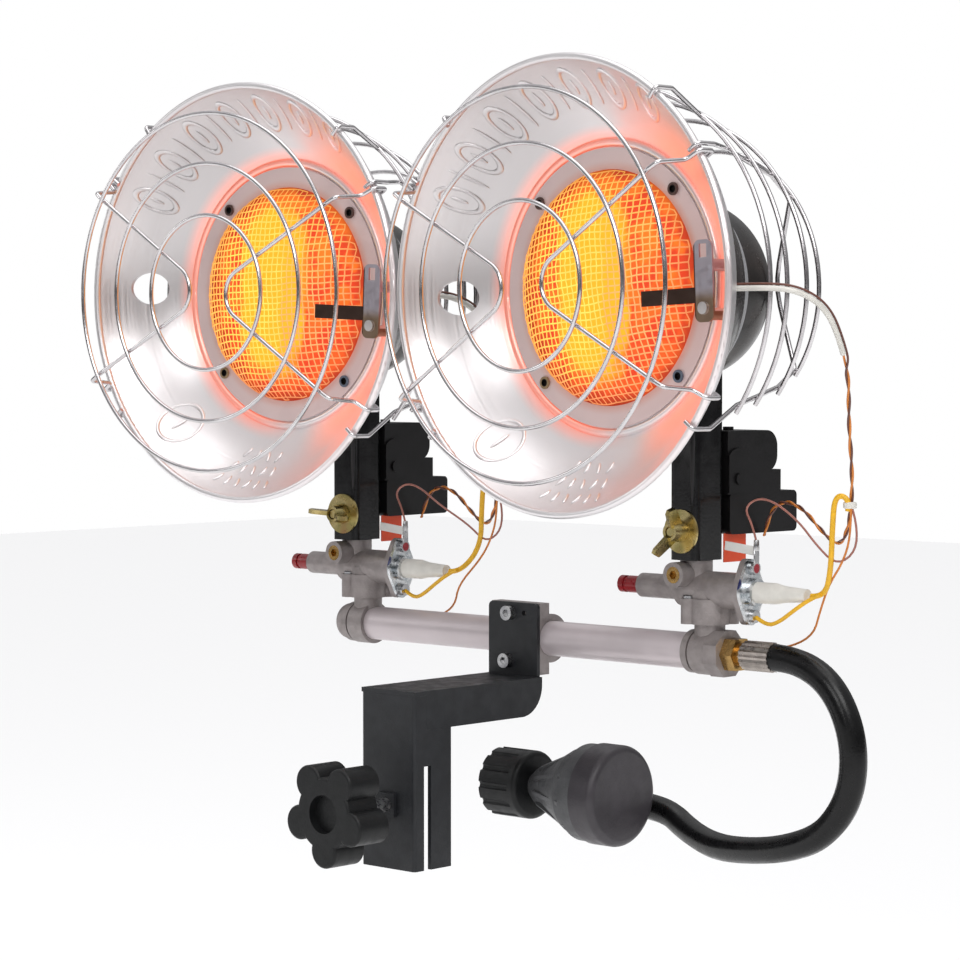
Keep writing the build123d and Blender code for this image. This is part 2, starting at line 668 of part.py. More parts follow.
def burner_bowl():
    """Pressed bowl behind the dish, ending in a lip that meets the cup."""
    face = FLOOR_AT - SEAT
    middle = (BOWL_R * BOWL_FULLNESS, (face + SEAM_AT) / 2)
    wall = band((BOWL_R, face), middle, (SEAM_R, SEAM_AT), -BOWL_SHEET, 0)
    flange = lathe([(BOWL_R - BOWL_SHEET, face), (BOWL_FLANGE_R, face), (BOWL_FLANGE_R, face - BOWL_SHEET),
                    (BOWL_R - BOWL_SHEET, face - BOWL_SHEET)])
    lip = lathe([(SEAM_R - 3, SEAM_AT), (SEAM_R + SEAM_LIP, SEAM_AT),
                 (SEAM_R + SEAM_LIP, SEAM_AT + BOWL_SHEET), (SEAM_R - 3, SEAM_AT + BOWL_SHEET)])
    return wall + flange + lip


def cup_solid(grow=0.0):
    """The cup's outside, a straight wall and an elliptical back, made larger or smaller all round."""
    top = SEAM_AT - SEAT - BOWL_SHEET
    radius = CUP_R + grow
    wall = Pos(radius / 2, (-top - CUP_ROUND_AT) / 2) * Rectangle(radius, top - CUP_ROUND_AT)
    behind = Pos(radius / 2, CUP_BACK) * Rectangle(radius, 2 * CUP_BACK)
    back = Ellipse(radius, CUP_BACK + CUP_ROUND_AT + grow) & behind
    return revolve(wall + Pos(0, -CUP_ROUND_AT) * back, Axis.Y)


def burner_cup(side):
    """Deep pressed cup over the back of the bowl, with a hole for the mixing tube."""
    lip = SEAM_AT - SEAT
    rim = SEAM_R + SEAM_LIP
    inside = CUP_R - BOWL_SHEET
    cup = cup_solid() - cup_solid(-BOWL_SHEET)
    cup += lathe([(inside, lip), (rim, lip), (rim, lip - BOWL_SHEET), (inside, lip - BOWL_SHEET)])
    return cup - rod(MIXING_R + FIT, -CUP_R - SEAM_LIP, 0, "Z", x=SIDES[side] * DISH_INWARD)


def sensor_bracket():
    """Upright plate on two posts, carrying the flame sensor's blade across the screen."""
    face = -SENSOR_AT
    plate = Pos(SENSOR_X, SENSOR_Z) * RectangleRounded(SENSOR_WIDTH, SENSOR_HEIGHT, 4.0)
    plate -= Pos(SENSOR_X, SENSOR_SLOT_Z) * Rectangle(*SENSOR_SLOT)
    middle = SENSOR_X - SENSOR_WIDTH / 2 + 1 - SENSOR_BAR_LENGTH / 2
    blade = Pos(middle, SENSOR_BAR_Z) * Rectangle(SENSOR_BAR_LENGTH, SENSOR_BAR_WIDTH)
    body = prism(plate + blade, face - SENSOR_THICK, face, "Y")
    low = SENSOR_Z - SENSOR_HEIGHT / 2 + SENSOR_POST_R + 1
    high = SENSOR_SLOT_Z - SENSOR_SLOT[1] / 2 - SENSOR_POST_R - 0.5
    for z in (low, high):
        body += rod(SENSOR_POST_R, face - 0.5, -FLOOR_AT, "Y", x=SENSOR_X, z=z)
    body += rod(SENSOR_POST_R, face - SENSOR_THICK - 1.6, face - 0.5, "Y", x=SENSOR_X, z=SENSOR_SCREW_Z)
    return body - dish_wall(-SEAT - FIT, SENSOR_AT)


# ---------------------------------------------------------------- wire guards
def hook_out():
    """Radius of a guard wire's middle where it passes outside the rolled rim."""
    return RIM_R + ROLL_R + WIRE_R + HOOK_GAP


def hook_front():
    """Distance in front of the mast axis of a wire that crosses the rim's face."""
    return RIM_AT + ROLL_R + WIRE_R + HOOK_GAP


def front_guard():
    """Three rings welded on two bent wires whose ends hook round the dish's rim."""
    guard = None
    for radius in GUARD_RINGS:
        ring = revolve(Pos(radius, -GUARD_AT) * wire_section(), Axis.Y)
        guard = ring if guard is None else guard + ring
    behind = GUARD_AT - 2 * WIRE_R + WELD
    last = GUARD_RINGS[-1]

    def arm(angle):
        places = [(hook_out() - HOOK_FOOT, RIM_AT - HOOK_LENGTH), (hook_out(), RIM_AT - HOOK_LENGTH),
                  (hook_out(), hook_front() + 0.5), (last + ARM_SHOULDER[0], hook_front() + ARM_SHOULDER[1]),
                  (last + ARM_ELBOW[0], behind - ARM_ELBOW[1]), (last + ARM_RISE, behind)]
        return [polar(radius, front, angle) for radius, front in places]

    points = arm(GUARD_ARM_ANGLE) + [(0, -behind, 0)] + arm(-GUARD_ARM_ANGLE)[::-1]
    bent = wire(points, HOOK_BENDS + [GUARD_VERTEX_R] + HOOK_BENDS[::-1])
    return guard + bent + Rot(0, 180, 0) * bent


def rear_guard():
    """Cage of four open rings on two bent wires and two clips, open below for the mast."""
    cage = None
    for radius, front in CAGE_RINGS:
        ring = arc_wire(radius, front, -CAGE_END_ANGLE, 180 + CAGE_END_ANGLE)
        cage = ring if cage is None else cage + ring
    inside = 2 * WIRE_R - WELD
    over = hook_front() + 0.2
    out = hook_out() + 0.2

    def hook(angle):
        places = [(out - CAGE_HOOK_LEG, over), (out, over), (out, RIM_AT - CAGE_HOOK_LENGTH)]
        return [polar(radius, front, angle) for radius, front in places]

    def along(angles):
        return [polar(radius - inside, front, angle) for (radius, front), angle in zip(CAGE_RINGS, angles)]

    vertex = [(CAGE_VERTEX, -CAGE_RINGS[-1][1], 0)]
    points = hook(CAGE_UPPER_HOOK) + along(CAGE_UPPER) + vertex
    points += along(CAGE_LOWER)[::-1] + hook(CAGE_LOWER_HOOK)[::-1]
    bent = wire(points, CAGE_BENDS + [CAGE_VERTEX_BEND] + CAGE_BENDS[::-1])
    first, front = CAGE_RINGS[0]
    end = [polar(first - inside, front - CAGE_CLIP_FOOT, CAGE_CLIP_END)]
    clip = wire(hook(CAGE_CLIP_HOOK) + end, CAGE_BENDS[:2])
    side = bent + clip
    return cage + side + mirror(side, Plane.YZ)


# ---------------------------------------------------------------- tip switch and leads
def tip_switch():
    """Tilt switch behind the mast: rounded head, waist, lower box, pin and foot tongue."""
    back = MAST_DEPTH / 2 + SEAT
    half = SWITCH_WIDTH / 2
    head = block(-half, half, back, back + SWITCH_HEAD_DEPTH, SWITCH_STEP, SWITCH_TOP)
    corners = head.edges().filter_by(Axis.X).group_by(Axis.Y)[-1]
    head = fillet(corners, 9.0)
    waist = block(-half, half, back, back + SWITCH_HEAD_DEPTH + 3, SWITCH_SHELF - 1, SWITCH_STEP + 1)
    box = block(-half, half, back + 2, back + SWITCH_BOX_DEPTH, SWITCH_FOOT, SWITCH_SHELF)
    box = fillet(box.edges().filter_by(Axis.X), 3.0)
    pin = rod(3.0, SWITCH_TOP - 1, SWITCH_TOP + 2, "Z", y=back + 14)
    wide = SWITCH_TAB_WIDTH / 2
    middle = back + wide - 2 * SWITCH_TAB_THICK
    arch = Pos(middle, SWITCH_TAB_TOP - wide) * Circle(wide)
    rise = SWITCH_TAB_TOP - wide - SWITCH_SHELF
    arch += Pos(middle, SWITCH_SHELF + rise / 2) * Rectangle(2 * wide, rise)
    arch &= Pos(back + 2 * wide, SWITCH_TAB_TOP - 2 * wide) * Rectangle(4 * wide, 4 * wide)
    tab = prism(arch, half - 1, half + SWITCH_TAB_THICK, "X")
    screw = rod(SWITCH_SCREW_R, half, half + 2 * SWITCH_TAB_THICK, y=middle, z=SWITCH_SCREW_Z)
    return head + waist + box + pin + tab + screw


def lead_route(side):
    """Sensor lead's points, leaning inward with the dish as they rise."""
    lean = -SIDES[side] * DISH_INWARD / HEAD_HEIGHT
    return [(x + lean * z, y, z) for x, y, z in LEAD_ROUTE]


def sensor_lead(side):
    """Lead from the flame sensor, outside the cage and down to the tip switch."""
    return cord(lead_route(side), LEAD_R, "sensor_lead_" + side)


def valve_lead(side):
    """Lead from the valve's sleeve up to the place where it lies beside the sensor lead."""
    start = SLEEVE_START + SLEEVE_LENGTH + SEAT
    turn = -SIDES[side] * TOE_IN
    route = lead_route(side)
    meet = Vector(*route[LEAD_MEETS]).rotate(Axis.Z, turn)
    above = Vector(*route[LEAD_MEETS - 1]).rotate(Axis.Z, turn)
    beside = Vector(0, -1.1 * (2 * LEAD_R + CLEAR), 0)
    low = meet + beside
    end = low + (above - meet).normalized() * LEAD_RISE
    rise = low.Z - VALVE_HEIGHT
    points = [Vector(start, 0, VALVE_HEIGHT), Vector(start + 9, 0, VALVE_HEIGHT),
              Vector(start + 17, 0, VALVE_HEIGHT + 0.25 * rise),
              Vector(low.X - 2, low.Y * 0.5, VALVE_HEIGHT + 0.65 * rise), low, end]
    return cord(points, LEAD_R, "valve_lead_" + side)


# ---------------------------------------------------------------- bracket
def tab_holes():
    front, back = tab_back() - SHEET - 1, tab_back() + SADDLE_LUG + TUBE_R + 1
    return [rod(SADDLE_SCREW_R + FIT, front, back, "Y", x=ARM_CENTRE_X + x, z=z) for x, z in SADDLE_SCREWS]


def tab_back():
    return -TUBE_R - FIT


def bracket_arm():
    """Folded arm: a top plate with two flanges and a tab bent up in front of the manifold."""
    x0, x1 = ARM_CENTRE_X - ARM_WIDTH / 2, ARM_CENTRE_X + ARM_WIDTH / 2
    back = tab_back()
    front = CHANNEL_FRONT
    arm = block(x0, x1, front, back, ARM_TOP - SHEET, ARM_TOP)
    side = [(front + SLOT_FRONT_LEG + 2, ARM_TOP), (back, ARM_TOP), (back, ARM_TOP - ARM_FLANGE),
            (front + SLOT_FRONT_LEG + 2, ARM_TOP - ARM_FLANGE)]
    web = make_face(Polyline(*side, close=True))
    web = fillet(web.vertices().sort_by(Axis.X)[-2:].sort_by(Axis.Y)[0], ARM_END_R)
    for x in (x0, x1 - SHEET):
        arm += prism(web, x, x + SHEET, "X")
    middle = (TAB_TOP + ARM_TOP - SHEET) / 2
    tab = Pos(ARM_CENTRE_X, middle) * Rectangle(TAB_WIDTH, TAB_TOP - ARM_TOP + SHEET)
    tab = fillet(tab.vertices().group_by(Axis.Y)[-1], TAB_CORNER)
    arm += prism(tab, back - SHEET, back, "Y")
    for hole in tab_holes():
        arm -= hole
    for x, z in SPARE_HOLES:
        arm -= rod(SPARE_HOLE_R, back - SHEET - 1, back + 1, "Y", x=ARM_CENTRE_X + x, z=z)
    return arm


def bracket_channel():
    """Channel that straddles the collar: front plate, two slotted flanges and a welded nut."""
    x0, x1 = ARM_CENTRE_X - ARM_WIDTH / 2, ARM_CENTRE_X + ARM_WIDTH / 2
    front = CHANNEL_FRONT
    back = front + CHANNEL_DEPTH
    top = ARM_TOP - SHEET - SEAT
    below_arm = ARM_TOP - ARM_FLANGE - SEAT
    body = block(x0, x1, front, front + SHEET, CHANNEL_FOOT, top)
    for x in (x0, x1 - SHEET):
        body += block(x, x + SHEET, front, front + SLOT_FRONT_LEG + 2 - SEAT, CHANNEL_FOOT, top)
        body += block(x, x + SHEET, front, back, CHANNEL_FOOT, below_arm)
    upright = [e for e in body.edges().filter_by(Axis.Z) if abs(e.center().Y - front) < 0.01]
    body = fillet(upright, SHEET * 0.8)
    slot = front + SLOT_FRONT_LEG
    body -= block(x0 - 1, x1 + 1, slot, slot + SLOT_WIDTH, CHANNEL_FOOT - 1, SLOT_TOP)
    half = WELD_NUT_SIZE / 2
    body += Pos(ARM_CENTRE_X, 0, CLAMP_Z) * block(-half, half, front - WELD_NUT, front + 0.5, -half, half)
    return body - rod(CLAMP_R + FIT, front - WELD_NUT - 1, front + SHEET + 1, "Y", x=ARM_CENTRE_X, z=CLAMP_Z)


def pipe_saddle():
    """Cast saddle that holds the manifold against the tab."""
    half = TAB_WIDTH / 2
    front = tab_back() + SEAT
    outline = Pos(front + SADDLE_LUG / 2, 0) * Rectangle(SADDLE_LUG, 2 * TAB_TOP)
    outline += Circle(TUBE_R + SADDLE_WALL)
    whole = 2 * (TUBE_R + SADDLE_WALL + TAB_TOP)
    outline -= Circle(TUBE_R + FIT) + Pos(front - whole / 2, 0) * Rectangle(whole, whole)
    saddle = prism(outline, ARM_CENTRE_X - half, ARM_CENTRE_X + half, "X")
    for hole in tab_holes():
        saddle -= hole
    return saddle


def saddle_screws():
    face = tab_back() - SHEET - SEAT
    parts = []
    for beside, z in SADDLE_SCREWS:
        x = ARM_CENTRE_X + beside
        shank = rod(SADDLE_SCREW_R, face, tab_back() + SADDLE_LUG, "Y", x=x, z=z)
        head = rod(SADDLE_HEAD_R, face - SADDLE_HEAD, face, "Y", x=x, z=z)
        key = Pos(x, z) * RegularPolygon(SADDLE_KEY / 2, 6, major_radius=False)
        parts.append(shank + head - prism(key, face - SADDLE_HEAD - 1, face - SADDLE_HEAD + 2, "Y"))
    return Compound(children=parts)


def clamp_stud():
    """Screw that presses the collar, with its pad inside the channel."""
    inside = CHANNEL_FRONT + SHEET
    back = CHANNEL_FRONT - KNOB_FRONT + KNOB_THICK
    stud = rod(CLAMP_R, back - KNOB_THICK / 2, inside + CLAMP_PAD, "Y", x=ARM_CENTRE_X, z=CLAMP_Z)
    pad = rod(CLAMP_PAD_R, inside + SEAT * 2, inside + CLAMP_PAD, "Y", x=ARM_CENTRE_X, z=CLAMP_Z)
    return stud + pad


def clamp_knob():
    """Five-lobed star knob, one lobe down, with a blind recess in its face."""
    face = CHANNEL_FRONT - KNOB_FRONT
    star = Circle(KNOB_CORE_R)
    for index in range(KNOB_LOBES):
        star += Rot(0, 0, -90 + index * 360 / KNOB_LOBES) * Pos(KNOB_LOBE_AT, 0) * Circle(KNOB_LOBE_R)
    knob = prism(star, face, face + KNOB_THICK, "Y")
    knob = fillet(knob.edges().group_by(Axis.Y)[0], 1.6)
    knob -= rod(KNOB_RECESS_R, face - 1, face + KNOB_RECESS, "Y")
    knob = Pos(ARM_CENTRE_X, 0, CLAMP_Z) * knob
    return knob - rod(CLAMP_R + FIT, face + KNOB_THICK / 2 - SEAT, face + KNOB_THICK + 1, "Y",
                      x=ARM_CENTRE_X, z=CLAMP_Z)


# ---------------------------------------------------------------- hose and regulator
def fitting_start():
    return HEAD_SPACING / 2 + VALVE_TO_NECK + TEE_RIGHT_END


def ferrule_start():
    return fitting_start() + FITTING_LENGTH + FITTING_NECK


def hose_fitting():
    start = fitting_start()
    hexagon = RegularPolygon(FITTING_AF / 2, 6, major_radius=False)
    fitting = prism(hexagon, start + SEAT, start + FITTING_LENGTH, "X")
    fitting += rod(FITTING_NECK_R, start + FITTING_LENGTH - 1, start + FITTING_LENGTH + FITTING_NECK - SEAT)
    fitting += rod(FITTING_STEM_R, start - FITTING_STEM, start + 1)
    return fitting


def hose_ferrule():
    start = ferrule_start()
    points = []
    for index in range(2 * FLUTES):
        radius = FERRULE_R - FLUTE_DEPTH * (index % 2)
        a = math.pi * index / FLUTES
        points.append((radius * math.cos(a), radius * math.sin(a)))
    fluted = make_face(Polyline(*points, close=True))
    return prism(fluted, start, start + FERRULE_LENGTH, "X")


def gas_hose():
    start = (ferrule_start() + FERRULE_LENGTH + SEAT, 0, 0)
    end = (OUTLET_FACE + SEAT, OUTLET_Y, OUTLET_Z)
    return cord([start] + HOSE_ROUTE + [end], HOSE_R, "gas_hose")


def regulator_body():
    """Cast regulator: ribbed bell, inlet stem and side outlet with its hose barrel."""
    bell_end = REG_FACE - REG_CAP_LENGTH - REG_BAND_LENGTH
    bell_start = bell_end - REG_BELL_LENGTH
    band_end = bell_end + REG_BAND_LENGTH - SEAT
    outline = [(bell_start, 0), (bell_start, REG_NECK_R), (bell_start + 8, REG_NECK_R + 2),
               (bell_end - 6, REG_BELL_R), (bell_end, REG_BELL_R), (bell_end, REG_BAND_R),
               (band_end, REG_BAND_R), (band_end, 0)]
    body = revolve(make_face(Polyline(*outline, close=True)), Axis.X)
    rib_line = [(bell_start + 4, 0), (bell_start + 4, REG_NECK_R + 2.5),
                (bell_end + 1, REG_BAND_R - 0.5), (bell_end + 1, 0)]
    rib = make_face(Polyline(*rib_line, close=True))
    for index in range(REG_RIBS):
        body += Rot(360 * index / REG_RIBS + 9, 0, 0) * extrude(rib, REG_RIB_WIDTH / 2, both=True)
    body += rod(REG_INLET_R, bell_start - NUT_GAP - NUT_LENGTH + NUT_THREAD_DEPTH + SEAT, bell_start + 1)
    body = Pos(0, REG_Y, REG_Z) * body
    middle = OUTLET_FACE - OUTLET_LENGTH
    barrel = rod(OUTLET_R, middle - 6, OUTLET_FACE, y=OUTLET_Y, z=OUTLET_Z)
    neck = Pos(middle + 2, 0, 0) * rod(OUTLET_R - 1, REG_Y, OUTLET_Y, "Y", z=OUTLET_Z)
    return body + barrel + neck


def regulator_cap():
    start = REG_FACE - REG_CAP_LENGTH
    cap = rod(REG_CAP_R, start, REG_FACE)
    cap = fillet(cap.edges().sort_by(Axis.X)[-1], 4.0)
    return Pos(0, REG_Y, REG_Z) * cap


def coupling_nut():
    """Hand nut with its inside thread for the cylinder valve."""
    bell_start = REG_FACE - REG_CAP_LENGTH - REG_BAND_LENGTH - REG_BELL_LENGTH
    end = bell_start - NUT_GAP
    start = end - NUT_LENGTH
    nut = rod(NUT_R, start, end)
    nut = fillet(nut.edges().sort_by(Axis.X)[-1], 3.0)
    for index in range(NUT_GRIPS):
        turned = Rot(360 * index / NUT_GRIPS, 0, 0)
        nut -= turned * rod(NUT_GRIP_R, start - 1, end - 6, y=NUT_R + 0.8)
    nut -= rod(NUT_THREAD_R, start - 1, start + NUT_THREAD_DEPTH)
    nut -= rod(REG_INLET_R + FIT, start, end + 1)
    return Pos(0, REG_Y, REG_Z) * nut


# ---------------------------------------------------------------- assembly
def head_piece(shape, side, twisted=False):
    """Puts a piece made about the dish axis, or the mast axis, on its head."""
    sign = SIDES[side]
    if twisted:
        shape = Pos(-sign * DISH_INWARD, 0, HEAD_HEIGHT) * Rot(0, -DISH_TWIST[side], 0) * shape
    return Pos(sign * HEAD_SPACING / 2, 0, 0) * Rot(0, 0, -sign * TOE_IN) * shape


def main():
    nodes = {}
    dish_parts = {
        "reflector": reflector(), "burner_ring": burner_ring(), "ring_screws": ring_screws(),
        "emitter_screen": emitter_screen(), "emitter_plate": emitter_plate(), "burner_bowl": burner_bowl(),
        "front_guard": front_guard(), "rear_guard": rear_guard(), "sensor_bracket": sensor_bracket(),
    }
    upright_parts = {
        "mixing_tube": mixing_tube(), "wing_stud": wing_stud(), "wing_washer": wing_washer(),
        "tip_switch": tip_switch(),
    }
    for side, sign in SIDES.items():
        for name, shape in dish_parts.items():
            nodes[name + "_" + side] = head_piece(shape, side, twisted=True)
        for name, shape in upright_parts.items():
            nodes[name + "_" + side] = head_piece(shape, side)
        cup = Pos(-sign * DISH_INWARD, 0, HEAD_HEIGHT) * burner_cup(side)
        nodes["burner_cup_" + side] = head_piece(cup, side)
        nodes["mast_" + side] = head_piece(mast(side), side)
        nodes["wing_nut_" + side] = head_piece(wing_nut(side), side)
        nodes["sensor_lead_" + side] = head_piece(sensor_lead(side), side)
        for name, make in (("valve_body", valve_body), ("push_button", push_button)):
            nodes[name + "_" + side] = Pos(sign * HEAD_SPACING / 2, 0, 0) * make()
        nodes["valve_lead_" + side] = Pos(sign * HEAD_SPACING / 2, 0, 0) * valve_lead(side)
    nodes["valve_covers"] = both(valve_cover)
    nodes["valve_screws"] = both(valve_screws)
    nodes["valve_plugs"] = both(valve_plug)
    nodes["lead_sleeves"] = both(lead_sleeve)
    nodes["gas_jets"] = both(gas_jet)
    for make in (manifold_tube, tee_left, tee_right, hose_fitting, hose_ferrule, gas_hose, regulator_body,
                 regulator_cap, coupling_nut, bracket_arm, bracket_channel, pipe_saddle, saddle_screws,
                 clamp_stud, clamp_knob):
        nodes[make.__name__] = make()

    os.makedirs("parts", exist_ok=True)
    to_seat = Pos(*(-value for value in SEAT_POINT))
    for name, shape in nodes.items():
        solids = (to_seat * shape).solids()
        whole = solids[0] if len(solids) == 1 else Compound(children=list(solids))
        export_step(whole, "parts/" + name + ".step")
    print("nodes", len(nodes))


if __name__ == "__main__":
    main()
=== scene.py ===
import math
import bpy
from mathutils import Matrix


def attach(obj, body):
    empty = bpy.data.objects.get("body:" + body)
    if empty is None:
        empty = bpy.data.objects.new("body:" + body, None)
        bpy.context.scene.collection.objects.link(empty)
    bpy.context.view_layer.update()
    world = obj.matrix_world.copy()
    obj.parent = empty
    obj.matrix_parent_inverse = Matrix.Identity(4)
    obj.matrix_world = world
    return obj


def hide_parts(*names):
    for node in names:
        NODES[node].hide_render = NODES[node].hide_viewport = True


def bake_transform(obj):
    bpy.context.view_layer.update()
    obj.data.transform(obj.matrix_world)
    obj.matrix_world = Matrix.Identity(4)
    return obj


bl_info = {
    "name": "Twin Tank-Top Heater",
    "version": (1, 0, 0),
    "blender": (4, 5, 0),
    "location": "View3D > Sidebar > Heater",
    "description": "Dresses the twin radiant gas heater piece by piece",
    "category": "Object",
}

import bmesh
import bpy
from mathutils import Matrix, Vector, noise

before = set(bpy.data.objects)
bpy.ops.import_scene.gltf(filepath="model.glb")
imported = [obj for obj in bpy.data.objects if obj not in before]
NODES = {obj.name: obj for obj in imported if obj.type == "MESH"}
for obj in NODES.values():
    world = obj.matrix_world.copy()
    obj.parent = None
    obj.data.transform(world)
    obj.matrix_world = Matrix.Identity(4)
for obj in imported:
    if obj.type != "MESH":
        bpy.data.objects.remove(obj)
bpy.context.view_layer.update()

# The heater is laid out from the middle of its manifold, in millimetres, as the frame's source is.
MM = 0.001
SEAT_POINT = Vector((7.5, -104.75, -63.0))
HEAD_SPACING = 264.8
HEAD_HEIGHT = 198.4
DISH_INWARD = 4.4
TOE_IN = 3.0
DISH_TWIST = {"left": -2.6, "right": 2.4}
SIDES = {"left": -1, "right": 1}

# mesh detail
MERGE_WITHIN = 0.002
SMOOTH_TO = 40
WIRE_SIDES = 12
RING_STEPS = 96
CAGE_STEPS = 72
BEND_STEPS = 10

# dish, about its own axis: (radius, distance in front of the mast)
RIM = (119.7, 106.4)
WALL_TOP = (119.3, 105.0)
WALL_FOOT = (79.0, 65.2)
WALL_SAG = 4.0
WALL_BEND = 100.0
RIVET_AT = 48.79
SENSOR_PLATE_X = 77.5
SENSOR_SCREW = (83.3, -15.3)

# relief pressed into the dish: share of the way up the wall, then (length, width, wire, height)
# for a loop and (length, width, height) for a rib
RELIEF_LIFT = 0.25
RELIEF_SMOOTH = 60
LOOP_SHARE = 0.60
LOOP_COUNT = 7
LOOP_STEPS, LOOP_SIDES = 28, 10
LOOP_START = 61
LOOP_STEP = 14.8
LOOP_WIDTH, LOOP_WIRE, LOOP_HEIGHT = 12, 0.95, 0.8
INNER_RIB_LENGTH, INNER_RIB = 0.42, (2.0, 0.7)
BETWEEN_RIB = (2.0, 0.75)
SIGN_SHARE, SIGN_ANGLE = 0.56, -130
SIGN_LOOP = (29, 24, 1.0, 0.8)
SIGN_RIB = (13, 2.2, 0.7)
DASH_ANGLE = -93
DASH_ROWS = ((0.36, 4, 5.0), (0.56, 5, 4.4), (0.76, 6, 4.0))
DASH = (8.0, 2.6, 0.5)
DASH_SLANT = 0.3

# screen
SCREEN_R = 62.7
SCREEN_BASE = 64.8
SCREEN_RISE = 20.0
SCREEN_SMOOTH = 70
SCREEN_EDGE = SCREEN_R - 0.5
CELL_KEPT = 0.6
WEAVE_RISE = 0.28
WEAVE_TURN = math.radians(4)
WEAVE_WANDER = 1.5
WEAVE_WAVES = 0.055
WEAVE_SHIFT = 9

# guards
GUARD_RINGS = (44.2, 73.7, 102.4)
GUARD_AT = 133.9
GUARD_ARM = 30.0
GUARD_VERTEX = 14.6
HOOK_OUT = 123.35
HOOK_FRONT = 110.05
HOOK_FOOT = 4.5
HOOK_LENGTH = 5.8
HOOK_STEP = 0.5
HOOK_BENDS = (2.4, 3.0, 4.0, 3.0, 3.0)
ARM_SHOULDER = (12.0, 2.5)
ARM_ELBOW = (9.0, 1.0)
ARM_RISE = 3.0
CAGE_RINGS = ((106.5, 59.0), (100.0, 38.0), (91.5, 12.0), (76.0, -17.0))
CAGE_END = 40.5
CAGE_UPPER = (40.0, 39.0, 39.0, 38.5)
CAGE_LOWER = (-38.5, -38.5, -38.5, -38.5)
CAGE_UPPER_HOOK = 31.9
CAGE_LOWER_HOOK = -38.5
CAGE_OUTSIDE = 0.2
CAGE_CLIP = (51.0, 54.5)
CAGE_CLIP_FOOT = 4.0
CAGE_VERTEX = 45.5
CAGE_VERTEX_BEND = 45.0
CAGE_HOOK_LEG = 6.5
CAGE_HOOK_LENGTH = 8.5
CAGE_BENDS = (2.4, 3.0, 6.0, 12.0, 12.0, 4.0)
WELD = 0.3

# cords: the hose about the manifold, the sensor leads about the mast, the rest about the valve
HOSE_ROUTE = [(186.45, 0, 0), (203, 0, 0), (226, 0, -13), (239, 0, -40), (236.5, 1, -70),
              (218, 3, -93), (190, 7, -104), (157, 16, -110), (124, 28, -113), (94, 42, -109),
              (70, 50, -99), (44.05, 50, -99)]
SENSOR_ROUTE = [(96, -72.8, 196.5), (112, -67.3, 197), (126, -59, 195), (131, -44, 186),
                (127, -28, 168), (122, -16, 150), (115, -8, 128), (112, -2, 106), (107, 4, 84),
                (98, 10, 67), (84, 20, 61), (68, 26, 68), (50, 32, 80), (32, 36, 83),
                (20, 39, 74), (16, 40, 62.5)]
SENSOR_WIRE = 0.00062
SENSOR_BESIDE = 2.2
SENSOR_WINDING = 0.62
SENSOR_TURNS = 9
SETTLES_IN = 6
LEAD_MEETS = 8
LEAD_BESIDE = 3.63
SLEEVED = 32
SLEEVE_SKIP = 3
SLEEVE_END = 78.05
VALVE_HEIGHT = 34.5
VALVE_LEAD_OUT = (9, 0, 0)
VALVE_LEAD_TO_TIE = ((-10, -1, -34), (-8.5, -2, -12), (-7, -2, 5.5), (1, 0, 4), (0, 0, -3))
THIN_WIRE = 0.0006
COVER_WIRE = 0.0011
GROUND_FROM_LUG = ((0, 0, 0), (-2, -1, 9), (-7, -2, 18), (2, -2, 24), (14, -2, 22), (30, -2, 12))
GROUND_TO_TIE = ((-20, 0, -22), (-7, 0, -32), (5, 1, -24), (5, 1, -8), (1, 1, 1))
RETURN_START = ((21, 11.5, 0), (30, 13, 2), (52, 14, 4), (70, 13, 12), (80, 5, 26))
RETURN_TO_TIE = ((-14, 3, -42), (-3, 0, -30), (2, 0, -16), (2, 0, -1))
COVER_ROUTE = ((41.5, 0, 21), (50, -2, 17), (60, -4, 20), (70, -4, 27), (78.5, -2, 33),
               (86, -2.6, 36))

# small pieces about the valve: block sizes, and drums as (radii, depth, sides, bevel, steps)
LUG_X = 41.3
LUG_TOP = 62.0
LUG_BLADE = (0.8, 4.6, 11)
LUG_BLADE_DOWN = 9.5
LUG_CRIMP_DOWN = 2
LUG_CRIMP = ((1.7, 1.4), 6.0, 16, 0.3, 2)
TAG = (20, 0.5, 5)
TAG_AT = (LUG_X - 12, 0.5, LUG_TOP - 4)
TAG_TILT = 6
TIE = ((3.6, 3.6), 3.5, 24, 0.7, 3)
CARD = (0.6, 19, 16)
CARD_AT = (7.6, 23, 56.5)
PAINT_DAUB = (35.0, -12.0, 40.0)
PAINT_DAUB_R = 0.0045
SEAL_DOT = (41.6, 0.0, 47.5)
SEAL_DOT_R = 0.0026

# camera, room and lights: (name, place, aim, size, power)
CAMERA_AT = (1.13142, -1.15440, 0.22592)
CAMERA_TURN = (87.55, 0.0, 42.87)
CAMERA_LENS = 109.93
CAMERA_SENSOR = 36
FLOOR_HALF = 6.0
FLOOR_Z = -0.32
FLOOR_COLOUR = (0.92, 0.92, 0.92)
WORLD_STOPS = ((0.02, (0.10, 0.098, 0.10)), (0.75, (0.70, 0.70, 0.71)))
LIGHTS = (("key", (1.6, -0.9, 1.7), (0.05, 0.0, 0.2), 1.2, 17.0),
          ("front", (0.7, -2.2, 1.2), (0.0, 0.0, 0.15), 0.9, 9.0),
          ("side", (-1.7, -0.9, 0.7), (0.0, 0.0, 0.15), 0.7, 3.0))
CEILING_POWER = 1.35
CEILING_SPREAD = 60


